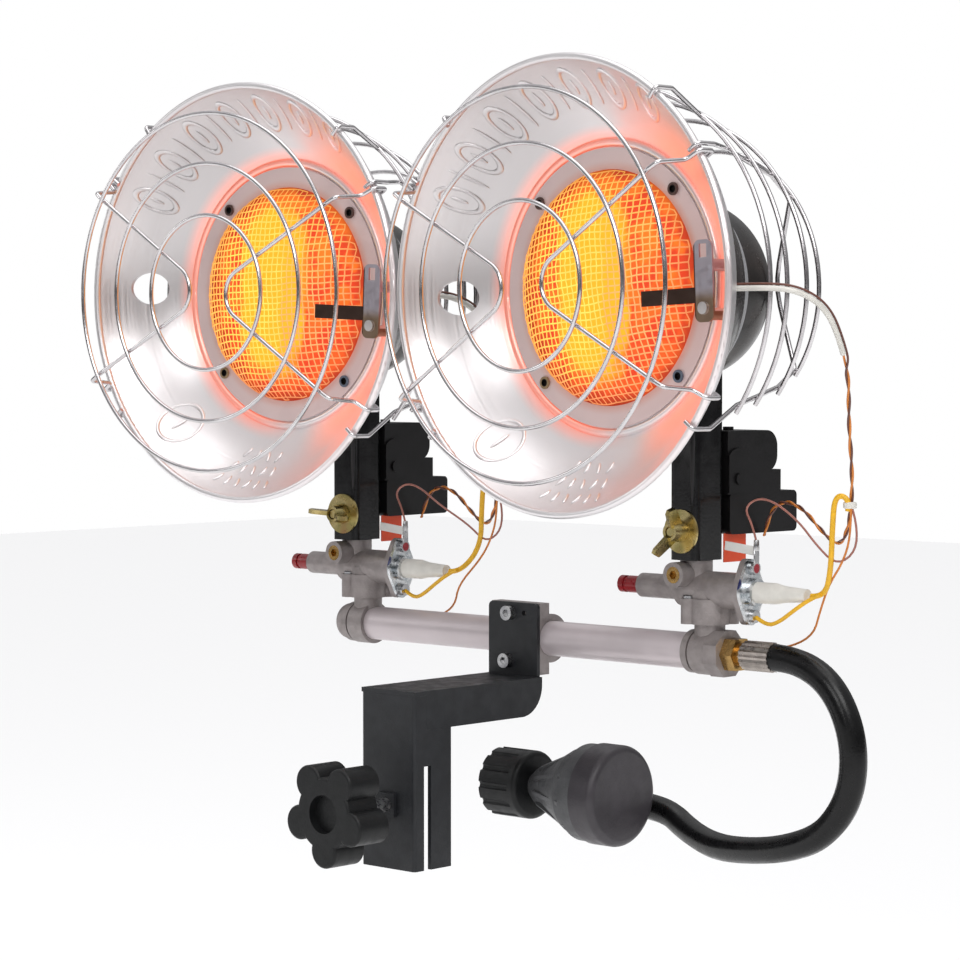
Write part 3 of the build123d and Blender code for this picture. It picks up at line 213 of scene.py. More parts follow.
# ---- settings
class HeaterSizes(bpy.types.PropertyGroup):
    wire: bpy.props.FloatProperty(
        name="Guard wire", description="Radius of the guards' wire", default=0.00125,
        min=0.0005, unit="LENGTH")
    screen_pitch: bpy.props.FloatProperty(
        name="Screen pitch", description="Distance between the screen's wires", default=0.0037,
        min=0.002, unit="LENGTH")
    screen_wire: bpy.props.FloatProperty(
        name="Screen wire", description="Thickness of the screen's wires", default=0.0008,
        min=0.0003, unit="LENGTH")
    lead: bpy.props.FloatProperty(
        name="Lead", description="Radius of the sensor and valve leads", default=0.0015,
        min=0.0005, unit="LENGTH")
    hose: bpy.props.FloatProperty(
        name="Hose", description="Radius of the gas hose", default=0.0075, min=0.002,
        unit="LENGTH")
    rib_length: bpy.props.FloatProperty(
        name="Rib", description="Length of the loops pressed into the dish", default=0.026,
        min=0.004, unit="LENGTH")


class HeaterColours(bpy.types.PropertyGroup):
    dish: bpy.props.FloatVectorProperty(
        name="Dish", description="Spun metal of the dishes", default=(0.80, 0.775, 0.782),
        subtype="COLOR", min=0, max=1)
    # colour of the screen's glow, painted on the dish as light
    glow: bpy.props.FloatVectorProperty(
        name="Glow", description="Heat glow thrown on the dish", default=(1.0, 0.17, 0.075),
        subtype="COLOR", min=0, max=1)
    casting: bpy.props.FloatVectorProperty(
        name="Casting", description="Valves and tees", default=(0.30, 0.268, 0.262),
        subtype="COLOR", min=0, max=1)
    tube: bpy.props.FloatVectorProperty(
        name="Manifold", description="Painted manifold tube", default=(0.60, 0.535, 0.55),
        subtype="COLOR", min=0, max=1)
    bracket: bpy.props.FloatVectorProperty(
        name="Bracket", description="Powder coat of the bracket",
        default=(0.013, 0.014, 0.0165), subtype="COLOR", min=0, max=1)
    knob: bpy.props.FloatVectorProperty(
        name="Knob", description="Plastic of the star knob", default=(0.006, 0.0065, 0.007),
        subtype="COLOR", min=0, max=1)


def sizes():
    return bpy.context.scene.heater_sizes


def colours():
    return bpy.context.scene.heater_colours


# ---- places
def metres(point):
    """A point in millimetres from the manifold's middle, as metres from the collar seat."""
    return (Vector(point) - SEAT_POINT) * MM


def shifted(start, steps):
    return [start + Vector(step) for step in steps]


def head_matrix(side, twisted=True):
    """Takes millimetres about the dish axis (or the mast's foot) to the finished place."""
    sign = SIDES[side]
    place = Matrix.Scale(MM, 4) @ Matrix.Translation(-SEAT_POINT)
    place = place @ Matrix.Translation((sign * HEAD_SPACING / 2, 0, 0))
    place = place @ Matrix.Rotation(math.radians(-sign * TOE_IN), 4, "Z")
    if twisted:
        place = place @ Matrix.Translation((-sign * DISH_INWARD, 0, HEAD_HEIGHT))
        place = place @ Matrix.Rotation(math.radians(-DISH_TWIST[side]), 4, "Y")
    return place


def valve_matrix(side):
    shift = Vector((SIDES[side] * HEAD_SPACING / 2, 0, 0)) - SEAT_POINT
    return Matrix.Scale(MM, 4) @ Matrix.Translation(shift)


def polar(radius, front, angle):
    """Point about the dish axis, in millimetres."""
    a = math.radians(angle)
    return Vector((radius * math.cos(a), -front, radius * math.sin(a)))


# ---- mesh making
def new_object(name, bm, matrix, material, smooth=SMOOTH_TO):
    """Finished piece: its place goes into its mesh and its faces point outwards."""
    bmesh.ops.remove_doubles(bm, verts=bm.verts, dist=MERGE_WITHIN)
    bmesh.ops.recalc_face_normals(bm, faces=bm.faces)
    bm.transform(matrix)
    mesh = bpy.data.meshes.new(name)
    bm.to_mesh(mesh)
    bm.free()
    mesh.polygons.foreach_set("use_smooth", [True] * len(mesh.polygons))
    mesh.set_sharp_from_angle(angle=math.radians(smooth))
    mesh.materials.append(material)
    piece = bpy.data.objects.new(name, mesh)
    bpy.context.scene.collection.objects.link(piece)
    return piece


def facing(point, direction):
    """Matrix that puts a flat circle at a point, square to a direction."""
    turn = Vector(direction).to_track_quat("Z", "Y").to_matrix().to_4x4()
    return Matrix.Translation(point) @ turn


def edges_of(verts):
    return list({e for v in verts for e in v.link_edges})


def new_edges(geometry):
    return [g for g in geometry if isinstance(g, bmesh.types.BMEdge)]


def wire_ring(bm, radius, front, wire, start=0.0, end=360.0, steps=RING_STEPS):
    """Ring of round wire about the dish axis, whole or open."""
    whole = end - start >= 360
    circle = bmesh.ops.create_circle(
        bm, cap_ends=not whole, segments=WIRE_SIDES, radius=wire,
        matrix=facing(polar(radius, front, start), polar(1, 0, start + 90)))
    turned = bmesh.ops.spin(
        bm, geom=edges_of(circle["verts"]), cent=(0, -front, 0), axis=(0, -1, 0),
        angle=math.radians(end - start), steps=steps, use_merge=whole)
    if not whole:
        bmesh.ops.edgeloop_fill(bm, edges=new_edges(turned["geom_last"]))


def bent_wire(bm, corners, bends, wire):
    """Round wire through corners: straight runs are extruded, and bends at corners are spun."""
    corners = [Vector(c) for c in corners]
    direction = (corners[1] - corners[0]).normalized()
    circle = bmesh.ops.create_circle(bm, cap_ends=True, segments=WIRE_SIDES, radius=wire,
                                     matrix=facing(corners[0], direction))
    edges = edges_of(circle["verts"])
    here = corners[0]
    for index in range(1, len(corners)):
        target = corners[index]
        if index < len(corners) - 1:
            leaving = (corners[index + 1] - target).normalized()
            turn = direction.angle(leaving)
            target = target - direction * bends[index - 1] * math.tan(turn / 2)
        out = bmesh.ops.extrude_edge_only(bm, edges=edges)
        moved = [g for g in out["geom"] if isinstance(g, bmesh.types.BMVert)]
        bmesh.ops.translate(bm, verts=moved, vec=target - here)
        edges = [e for e in new_edges(out["geom"]) if all(v in moved for v in e.verts)]
        here = target
        if index == len(corners) - 1:
            break
        axis = direction.cross(leaving).normalized()
        centre = here + axis.cross(direction) * bends[index - 1]
        steps = max(2, int(BEND_STEPS * turn / math.pi * 2))
        turned = bmesh.ops.spin(bm, geom=edges, cent=centre, axis=axis, angle=turn,
                                steps=steps)
        edges = new_edges(turned["geom_last"])
        here = centre + Matrix.Rotation(turn, 3, axis) @ (here - centre)
        direction = leaving
    bmesh.ops.edgeloop_fill(bm, edges=edges)


def soft_block(bm, size, place, bevel):
    """Block of a size in millimetres with chamfered edges, put in place by a matrix."""
    cube = bmesh.ops.create_cube(bm, size=1.0, matrix=Matrix.Diagonal((*size, 1)))
    done = bmesh.ops.bevel(bm, geom=edges_of(cube["verts"]), offset=bevel, affect="EDGES",
                           segments=1, profile=0.5, material=-1)
    verts = {v for f in done["faces"] for v in f.verts}
    verts |= {v for v in cube["verts"] if v.is_valid}
    bmesh.ops.transform(bm, matrix=place, verts=list(verts))


def soft_drum(bm, middle, radii, depth, sides, bevel, steps):
    """Upright drum with rounded rims."""
    drum = bmesh.ops.create_cone(bm, cap_ends=True, segments=sides, radius1=radii[0],
                                 radius2=radii[1], depth=depth,
                                 matrix=Matrix.Translation(middle))
    rims = [e for e in edges_of(drum["verts"]) if e.calc_face_angle(0) > 1]
    bmesh.ops.bevel(bm, geom=rims, offset=bevel, affect="EDGES", segments=steps, profile=0.5,
                    material=-1)


# ---- materials
class Finish:
    """A node material on Object coordinates, built up one surface effect at a time.

    Its name has an ending of its own, because the frame's materials have the plain names."""

    def __init__(self, name, colour, metallic=0.0, roughness=0.5):
        self.material = bpy.data.materials.new(name + "_finish")
        self.material.use_nodes = True
        self.tree = self.material.node_tree
        self.shader = self.tree.nodes["Principled BSDF"]
        self.link(colour, "Base Color")
        self.link(metallic, "Metallic")
        self.link(roughness, "Roughness")
        self.colour = colour
        self.coords = self.add("TexCoord").outputs["Object"]

    def feed(self, socket, value):
        """Links a socket to another, or sets it to a number, a place or a colour."""
        if isinstance(value, bpy.types.NodeSocket):
            self.tree.links.new(value, socket)
        else:
            socket.default_value = (*value, 1) if socket.type == "RGBA" else value

    def add(self, kind, **inputs):
        node = self.tree.nodes.new("ShaderNode" + kind)
        for key, value in inputs.items():
            self.feed(node.inputs[key.replace("_", " ")], value)
        return node

    def link(self, source, name):
        """Gives one of the shader's own inputs a socket or a constant."""
        self.feed(self.shader.inputs[name], source)

    def maths(self, operation, *values, clamp=False):
        node = self.add("Math")
        node.operation = operation
        node.use_clamp = clamp
        for socket, value in zip(node.inputs, values):
            self.feed(socket, value)
        return node.outputs[0]

    def times(self, first, *others):
        for other in others:
            first = self.maths("MULTIPLY", first, other)
        return first

    def noise(self, scale, detail=4.0):
        return self.add("TexNoise", Vector=self.coords, Scale=scale,
                        Detail=detail).outputs["Fac"]

    def spread(self, value, low, high, to_low=0.0, to_high=1.0):
        """Takes a range smoothly to another."""
        node = self.add("MapRange", Value=value, From_Min=low, From_Max=high,
                        To_Min=to_low, To_Max=to_high)
        node.interpolation_type = "SMOOTHSTEP"
        return node.outputs[0]

    def blend(self, amount, one, two):
        """Mix of two colours, each a triple or a socket."""
        node = self.add("Mix")
        node.data_type = "RGBA"
        for *wanted, value in (("Factor", "VALUE", amount), ("A", "RGBA", one),
                               ("B", "RGBA", two)):
            self.feed(next(s for s in node.inputs if [s.name, s.type] == wanted), value)
        return next(s for s in node.outputs if s.type == "RGBA")

    def patches(self, scale, one, two, low=0.3, high=0.7, detail=4.0):
        """Two colours in soft patches."""
        return self.blend(self.spread(self.noise(scale, detail), low, high), one, two)

    def mottle(self, scale, share):
        dark = tuple(c * (1 - share) for c in self.colour)
        light = tuple(min(1.0, c * (1 + share)) for c in self.colour)
        self.link(self.patches(scale, dark, light), "Base Color")
        return self

    def uneven_gloss(self, scale, low, high):
        self.link(self.spread(self.noise(scale), 0.3, 0.7, low, high), "Roughness")
        return self

    def grain(self, scale, depth, strength):
        bump = self.add("Bump", Height=self.noise(scale, 6.0), Strength=strength,
                        Distance=depth)
        self.link(bump.outputs[0], "Normal")
        return self

    def near(self, place, reach):
        """1 within a reach of a place, in metres, and 0 beyond it."""
        away = self.add("VectorMath", Vector=self.coords)
        away.operation = "DISTANCE"
        away.inputs[1].default_value = place
        return self.spread(away.outputs["Value"], reach * 0.9, reach * 1.1, 1, 0)

    def about_head(self, side):
        """Coordinates about one dish's axis, in metres: x across, y backwards, z up."""
        place = head_matrix(side)
        node = self.add("Mapping")
        node.vector_type = "TEXTURE"
        node.inputs["Location"].default_value = place.translation
        node.inputs["Rotation"].default_value = place.to_3x3().normalized().to_euler()
        self.tree.links.new(self.coords, node.inputs["Vector"])
        self.coords = node.outputs[0]
        return self.add("SeparateXYZ", Vector=self.coords).outputs

    def distance(self, one, two):
        """How far two offsets, square to each other, lead."""
        return self.maths("SQRT", self.maths("ADD", self.times(one, one), self.times(two, two)))


def made(name):
    return bpy.data.materials.get(name + "_finish")


# Plain finishes: colour (or its setting), metallic, roughness, specular level, colour variation
# (scale, share), uneven gloss (scale, low, high) and grain (scale, depth, strength)
CARD_LOOK = (0.0, 0.55, 0.5, (120, 0.04), (200, 0.5, 0.62), (600, 0.0002, 0.15))
WIRE_LOOK = (0.0, 0.45, 0.5, (300, 0.08), (400, 0.38, 0.55), None)
PLAIN_FINISHES = {
    "nickel_wire": ((0.62, 0.60, 0.61), 1.0, 0.18, 0.5, (60, 0.1), (140, 0.13, 0.24), None),
    "black_enamel": ((0.006, 0.006, 0.0065), 0.0, 0.2, 0.4, (40, 0.25), (90, 0.12, 0.2),
        (500, 0.0002, 0.1)),
    "switch_plastic": ((0.005, 0.0045, 0.005), 0.0, 0.38, 0.28, (60, 0.2), (200, 0.3, 0.44),
        (900, 0.0002, 0.2)),
    "powder_coat": ("bracket", 0.0, 0.48, 0.4, (90, 0.15), (160, 0.40, 0.54),
        (1400, 0.0003, 0.35)),
    "knob_plastic": ("knob", 0.0, 0.44, 0.3, (50, 0.2), (220, 0.38, 0.52),
        (1100, 0.0003, 0.3)),
    "die_casting": ("casting", 0.5, 0.46, 0.5, (150, 0.12), (240, 0.40, 0.58),
        (700, 0.0006, 0.4)),
    "manifold_paint": ("tube", 0.3, 0.4, 0.5, (30, 0.05), (120, 0.34, 0.46),
        (1200, 0.0002, 0.2)),
    "machined_brass": ((0.40, 0.25, 0.09), 1.0, 0.25, 0.5, (160, 0.2), (260, 0.18, 0.36),
        (800, 0.0002, 0.2)),
    "fluted_zinc": ((0.40, 0.36, 0.33), 1.0, 0.32, 0.5, (160, 0.2), (260, 0.24, 0.42), None),
    "red_plastic": ((0.26, 0.008, 0.012), 0.0, 0.3, 0.5, (200, 0.15), (300, 0.22, 0.4),
        (900, 0.0002, 0.2)),
    "hose_rubber": ((0.003, 0.003, 0.0033), 0.0, 0.3, 0.3, (120, 0.2), (150, 0.22, 0.34),
        (900, 0.0003, 0.2)),
    "gray_paint": ((0.045, 0.040, 0.046), 0.1, 0.42, 0.5, (70, 0.1), (150, 0.36, 0.5),
        (800, 0.0004, 0.3)),
    "dark_casting": ((0.085, 0.086, 0.090), 0.35, 0.46, 0.5, (90, 0.15), (200, 0.38, 0.54),
        (650, 0.0006, 0.4)),
    "orange_card": ((0.75, 0.075, 0.02), *CARD_LOOK),
    "white_card": ((0.78, 0.77, 0.74), *CARD_LOOK),
    "brown_wire": ((0.13, 0.045, 0.03), *WIRE_LOOK),
    "orange_wire": ((0.62, 0.20, 0.03), *WIRE_LOOK),
    "yellow_wire": ((0.80, 0.44, 0.015), *WIRE_LOOK),
    "pink_wire": ((0.34, 0.13, 0.10), *WIRE_LOOK),
}


def plain(name):
    """One of the plain finishes, made once."""
    if made(name):
        return made(name)
    colour, metallic, roughness, specular, mottle, gloss, grain = PLAIN_FINISHES[name]
    if isinstance(colour, str):
        colour = tuple(getattr(colours(), colour))
    f = Finish(name, colour, metallic, roughness)
    f.link(specular, "Specular IOR Level")
    f.mottle(*mottle).uneven_gloss(*gloss)
    if grain:
        f.grain(*grain)
    return f.material


# Painted light on the dish: the screen's glow, thrown on its bead and wall as emission, and
# painted shade at its upper left. Radii are in metres. A direction is its clock angle, and the
# cosines of the turn from it between which the effect comes up. A surface faces the front where
# its normal's Y is below the first of FRONT_FACING.
BEAD_LIT, BEAD_UNLIT = (0.0715, 0.0755), (0.0780, 0.0880)
WALL_LIT, WALL_UNLIT, RIM_UNLIT = (0.0765, 0.0815), (0.084, 0.110), (0.1125, 0.1185)
LEFT_LIT, RIGHT_LIT, OUTER_LIT = (172, -0.35, 0.25), (4, 0.10, 0.52), (-14, 0.5, 0.85)
OUTER_SHARE, BEAD_SHARE, RIM_SHARE, GLOW_STRENGTH = 0.72, 0.8, 0.1, 0.55
# painted shade at the dish's upper left: its direction, reach and strength
SHADED, SHADED_R, SHADE_LEFT, SHADE = (146, 0.45, 0.98), (0.100, 0.119), 0.35, 0.72
PAINTED_GLOW_METAL, WALL_EMISSION = (0.80, 0.42, 0.36), (1.0, 0.29, 0.21)
WALL_COLOURED = (0.078, 0.082)
SPUN_RINGS, SPUN_GLOSS, SPUN_GRAIN = 900.0, (0.28, 0.40), (0.12, 0.0002)
FRONT_FACING = (-0.05, 0.05)


def spun_dish(side):
    """Satin spun aluminium with fine rings, with painted shade at the upper left and the screen's
    glow painted on as light.

    The surface's own normal keeps the painted glow off the dish's back."""
    light = tuple(colours().dish)
    f = Finish("spun_dish_" + side, light, 0.9, 0.36)
    x, _, z = f.about_head(side)
    radius, angle = f.distance(x, z), f.maths("ARCTAN2", z, x)

    def towards(degrees, low, high):
        turned = f.maths("COSINE", f.maths("SUBTRACT", angle, math.radians(degrees)))
        return f.spread(turned, low, high)

    right = towards(*RIGHT_LIT)
    bead = f.times(f.spread(radius, *BEAD_LIT), f.spread(radius, *BEAD_UNLIT, 1, 0))
    outer = f.times(towards(*OUTER_LIT), OUTER_SHARE)
    inner = f.spread(radius, *WALL_UNLIT, 1, 0)
    fade = f.times(f.maths("MAXIMUM", inner, outer), f.spread(radius, *RIM_UNLIT, 1, RIM_SHARE))
    cloud = f.spread(f.noise(26, 3.0), 0.25, 0.75, 0.72, 1.0)
    # painted glow: the screen's light thrown on the bead and the wall
    lit = f.maths("ADD", f.times(bead, towards(*LEFT_LIT), BEAD_SHARE),
                  f.times(f.spread(radius, *WALL_LIT), fade, right, cloud), clamp=True)
    normal = f.add("SeparateXYZ", Vector=f.add("TexCoord").outputs["Normal"])
    glow = f.times(lit, f.spread(normal.outputs["Y"], *FRONT_FACING, 1, 0))
    # painted shade: the metal darkened towards the upper left
    shade = f.times(towards(*SHADED), f.spread(radius, *SHADED_R, 1, SHADE_LEFT))
    metal = f.blend(shade, light, tuple(c * SHADE for c in light))
    # the painted glow tints the metal and lights it as emission
    f.link(f.blend(glow, metal, PAINTED_GLOW_METAL), "Base Color")
    f.link(f.blend(f.times(right, f.spread(radius, *WALL_COLOURED)), tuple(colours().glow),
                   WALL_EMISSION), "Emission Color")
    f.link(f.times(glow, GLOW_STRENGTH), "Emission Strength")
    rings = f.add("TexNoise", Scale=SPUN_RINGS, Detail=2.0,
                  Vector=f.add("CombineXYZ", X=radius).outputs[0]).outputs["Fac"]
    f.link(f.spread(rings, 0.3, 0.7, *SPUN_GLOSS), "Roughness")
    bump = f.add("Bump", Height=rings, Strength=SPUN_GRAIN[0], Distance=SPUN_GRAIN[1])
    f.link(bump.outputs[0], "Normal")
    return f.material


RING_METAL, RING_GLOW_LIT, RING_GLOW_R = (0.74, 0.60, 0.59), (0.70, 0.33, 0.26), (0.0630, 0.0685)


def flat_ring(side):
    """Flat ring round the screen, with the screen's glow painted on its inner edge as a redder
    tint.
    """
    f = Finish("flat_ring_" + side, RING_METAL, 0.5, 0.42)
    x, _, z = f.about_head(side)
    # painted glow: the inner edge tinted red as if lit by the screen
    glow_lit = f.spread(f.distance(x, z), *RING_GLOW_R, 0.5, 0.0)
    f.link(f.blend(glow_lit, RING_METAL, RING_GLOW_LIT), "Base Color")
    return f.uneven_gloss(80, 0.36, 0.5).material


# Hot field of the screen, in metres about the dish axis: its middle and its half sizes
HOT_MIDDLE, HOT_HALF = (-0.013, 0.002), (0.026, 0.050)


def hot_field(f, side):
    """How hot each spot of the screen is: a tall field left of the middle, and patches."""
    x, _, z = f.about_head(side)
    powers = []
    for place, middle, half in zip((x, z), HOT_MIDDLE, HOT_HALF):
        off = f.maths("ABSOLUTE", f.maths("SUBTRACT", place, middle))
        powers.append(f.maths("POWER", f.maths("DIVIDE", off, half), 3.0))
    uneven = f.spread(f.noise(60, 3.0), 0.3, 0.7, -0.3, 0.3)
    hot = f.spread(f.maths("ADD", f.maths("ADD", *powers), uneven), 0.55, 1.35, 1, 0)
    return x, z, hot, f.spread(f.noise(62, 2.0), 0.42, 0.60)


def glowing_screen(side):
    """Woven wire lit from behind, yellow in the hot field and orange round it."""
    f = Finish("glowing_screen_" + side, (0.35, 0.10, 0.03), 0.2, 0.6)
    x, z, hot, patches = hot_field(f, side)
    corner = f.spread(f.maths("SUBTRACT", z, x), -0.055, 0.03)
    pale = f.blend(corner, (0.98, 0.36, 0.13), (1.0, 0.50, 0.09))
    f.link(f.blend(f.times(hot, 0.85), pale, (1.0, 0.72, 0.10)), "Emission Color")
    edge = f.spread(f.distance(x, z), 0.052, 0.0635, 1.15, 0.65)
    f.link(f.times(edge, f.spread(patches, 0, 1, 0.86, 1.0)), "Emission Strength")
    return f.material


def glowing_tile(side):
    """Ceramic tile behind the screen, red at its cooler patches."""
    f = Finish("glowing_tile_" + side, (0.30, 0.05, 0.02), 0.0, 0.9)
    x, z, hot, patches = hot_field(f, side)
    low = f.blend(f.spread(z, -0.045, 0.02), (0.90, 0.10, 0.012), (1.0, 0.20, 0.012))
    cool = f.blend(patches, (0.60, 0.035, 0.010), low)
    f.link(f.blend(hot, cool, (1.0, 0.50, 0.015)), "Emission Color")
    f.link(f.spread(f.distance(x, z), 0.050, 0.066, 1.0, 0.30), "Emission Strength")
    return f.material


SEAM_IN, SEAM_OUT = (0.0512, 0.0520), (0.0530, 0.0545)


def burnt_enamel(side):
    """Brown-black enamel of the burner's back, with a painted highlight along its seam's edge."""
    f = Finish("burnt_enamel_" + side, (0.016, 0.013, 0.012), 0.0, 0.24)
    x, _, z = f.about_head(side)
    radius = f.distance(x, z)
    # painted highlight: a pale gray ring between SEAM_IN and SEAM_OUT
    highlit_seam = f.times(f.spread(radius, *SEAM_IN), f.spread(radius, *SEAM_OUT, 1, 0))
    brown = f.patches(45, (0.010, 0.009, 0.009), (0.026, 0.019, 0.016))
    f.link(f.blend(highlit_seam, brown, (0.30, 0.30, 0.31)), "Base Color")
    return f.uneven_gloss(90, 0.16, 0.30).material


def dotted_metal(name, roughness, metal, place, reach, paint_colour, gloss):
    """Metal with a dab of paint at a place about each valve."""
    if made(name):
        return made(name)
    f = Finish(name, metal[1], 1.0, roughness)
    dabs = [f.near(valve_matrix(side) @ Vector(place), reach) for side in SIDES]
    dab = f.maths("MAXIMUM", *dabs)
    f.link(f.blend(dab, f.patches(*metal), paint_colour), "Base Color")
    f.link(f.spread(dab, 0, 1, 1, 0), "Metallic")
    return f.uneven_gloss(*gloss).material


def bright_zinc():
    """Blue-white zinc of the valve covers, with a daub of blue paint on each edge."""
    metal = (260, (0.40, 0.43, 0.45), (0.74, 0.75, 0.76), 0.35, 0.65, 3.0)
    return dotted_metal("bright_zinc", 0.24, metal, PAINT_DAUB, PAINT_DAUB_R,
                        (0.01, 0.015, 0.09), (260, 0.16, 0.34))


def screw_steel():
    """Bright screws, the top one of each valve cover dotted with red sealing paint."""
    metal = (200, (0.40, 0.40, 0.42), (0.60, 0.60, 0.60))
    return dotted_metal("screw_steel", 0.3, metal, SEAL_DOT, SEAL_DOT_R, (0.30, 0.01, 0.02),
                        (400, 0.22, 0.4))


def white_sleeve():
    """Milky sleeve that lets a little light in."""
    if made("white_sleeve"):
        return made("white_sleeve")
    f = Finish("white_sleeve", (0.70, 0.68, 0.63), 0.0, 0.35)
    f.link(0.25, "Subsurface Weight")
    f.link((0.004, 0.004, 0.004), "Subsurface Radius")
    return f.mottle(150, 0.05).uneven_gloss(300, 0.28, 0.42).material


RIVET_HALF, RIVET_HOLLOW = 0.01, (0.0019, 0.0023)


def burnt_screw(side):
    """Heat-stained hollow rivets: brown above, brassy at the lower left, blue at the right, with
    painted shade in their hollows.
    """
    f = Finish("burnt_screw_" + side, (0.06, 0.04, 0.03), 0.85, 0.36)
    x, _, z = f.about_head(side)
    lower = f.blend(f.spread(x, -RIVET_HALF, RIVET_HALF), (0.36, 0.26, 0.15),
                    (0.16, 0.20, 0.26))
    shell = f.blend(f.spread(z, -RIVET_HALF, RIVET_HALF), lower, (0.14, 0.09, 0.08))
    away = f.distance(*[f.maths("SUBTRACT", f.maths("ABSOLUTE", c), RIVET_AT * MM)
                        for c in (x, z)])
    # painted shade: near-black inside each rivet's hollow
    f.link(f.blend(f.spread(away, *RIVET_HOLLOW), (0.004, 0.003, 0.003), shell), "Base Color")
    return f.uneven_gloss(400, 0.28, 0.46).material


SENSOR_BRONZED, SENSOR_SCREW_R, BLADE_FADE = (-0.012, -0.004), (0.0031, 0.0034), 0.0006


def sensor_steel(side):
    """Sensor: lavender-gray plate, burnt blade, bronzed foot and a bright screw."""
    f = Finish("sensor_steel_" + side, (0.42, 0.40, 0.45), 0.85, 0.34)
    x, _, z = f.about_head(side)
    plate = f.blend(f.spread(z, *SENSOR_BRONZED), (0.26, 0.19, 0.13), (0.44, 0.42, 0.47))
    blade = f.spread(x, SENSOR_PLATE_X * MM, SENSOR_PLATE_X * MM + BLADE_FADE)
    body = f.blend(blade, (0.060, 0.036, 0.028), plate)
    away = f.distance(*[f.maths("SUBTRACT", c, at * MM) for c, at in zip((x, z), SENSOR_SCREW)])
    f.link(f.blend(f.spread(away, *SENSOR_SCREW_R, 1, 0), body, (0.66, 0.65, 0.64)),
           "Base Color")
    return f.uneven_gloss(200, 0.28, 0.42).material


ZINC_BANDS = ((0.28, (0.25, 0.21, 0.08, 1)), (0.74, (0.36, 0.21, 0.10, 1)),
              (0.42, (0.44, 0.34, 0.14, 1)), (0.50, (0.54, 0.44, 0.21, 1)),
              (0.60, (0.36, 0.31, 0.12, 1)))


def yellow_zinc():
    """Yellow passivated zinc, in soft bands of gold and brown."""
    if made("yellow_zinc"):
        return made("yellow_zinc")
    f = Finish("yellow_zinc", (0.40, 0.32, 0.13), 1.0, 0.3)
    bands = f.add("ValToRGB", Fac=f.noise(55, 1.0))
    fill_ramp(bands.color_ramp, ZINC_BANDS)
    f.link(bands.outputs[0], "Base Color")
    return f.uneven_gloss(200, 0.2, 0.38).material


def fill_ramp(ramp, bands):
    """Sets a ramp's two own stops and adds the rest."""
    stops = ramp.elements
    for stop, (position, colour) in zip(list(stops), bands):
        stop.position, stop.color = position, colour
    for position, colour in bands[2:]:
        stops.new(position).color = colour


def paint(material, *nodes):
    """Gives carried-over nodes a finish."""
    for name in nodes:
        slots = NODES[name].material_slots
        for slot in slots:
            slot.material = material
        if not slots:
            NODES[name].data.materials.append(material)


def paint_both(material, *stems):
    paint(material, *[stem + "_" + side for stem in stems for side in SIDES])


# ---- cords
def route_curve(name, points, radius, material, fine=8):
    """Cord along one smooth curve through given places."""
    curve = bpy.data.curves.new(name, "CURVE")
    curve.dimensions = "3D"
    spline = curve.splines.new("NURBS")
    spline.points.add(len(points) - 1)
    for knot, place in zip(spline.points, points):
        knot.co = (*place, 1)
    spline.order_u = 3
    spline.use_endpoint_u = True
    spline.resolution_u = fine
    curve.resolution_u = fine
    curve.bevel_depth = radius
    curve.bevel_resolution = 4
    curve.use_fill_caps = True
    curve.materials.append(material)
    piece = bpy.data.objects.new(name, curve)
    bpy.context.scene.collection.objects.link(piece)
    return piece


def curve_mesh(*cord):
    line = route_curve(*cord)
    mesh = bpy.data.meshes.new_from_object(line)
    bpy.data.objects.remove(line)
    return mesh


def curve_line(points):
    """The smooth line itself, as points in metres."""
    mesh = curve_mesh("line", points, 0.0, white_sleeve())
    places = [v.co.copy() for v in mesh.vertices]
    bpy.data.meshes.remove(mesh)
    return places


def tube_mesh(name, points, radius, material, fine=8):
    """The same cord, as a mesh."""
    mesh = curve_mesh(name, points, radius, material, fine)
    mesh.name = name
    piece = bpy.data.objects.new(name, mesh)
    bpy.context.scene.collection.objects.link(piece)
    return piece


def wound(line, beside, start):
    """Places of a wire that lies beside a line where it is sleeved, and then winds about it."""
    places = []
    side = Vector((0, 0, 1))
    last = len(line) - 1
    for index, here in enumerate(line):
        along = (line[min(index + 1, last)] - line[max(index - 1, 0)]).normalized()
        side = (side - along * side.dot(along)).normalized()
        past = max(0, index - SLEEVED)
        offset = SENSOR_WINDING + (beside - SENSOR_WINDING) * max(0.0, 1 - past / SETTLES_IN)
        angle = start + SENSOR_TURNS * 2 * math.pi * past / (last - SLEEVED)
        out = side * math.cos(angle) + along.cross(side) * math.sin(angle)
        places.append(here + out * offset * MM)
    return places


def valve_lead_points(side):
    """Valve lead, about the valve: out of the sleeve, up in a bow and down to the tie."""
    start = Vector((SLEEVE_END, 0, VALVE_HEIGHT))
    return [start, start + Vector(VALVE_LEAD_OUT)] + shifted(lead_meeting(side),
                                                             VALVE_LEAD_TO_TIE)


def lead_meeting(side):
    """Where the leads are tied together, about the valve, in millimetres."""
    turn = Matrix.Rotation(math.radians(-SIDES[side] * TOE_IN), 3, "Z")
    return turn @ sensor_points(side)[LEAD_MEETS] + Vector((0, -LEAD_BESIDE, 0))


def sensor_points(side):
    """Sensor lead's points about the mast, leaning inward with the dish as they rise."""
    lean = -SIDES[side] * DISH_INWARD / HEAD_HEIGHT
    return [Vector((x + lean * z, y, z)) for x, y, z in SENSOR_ROUTE]


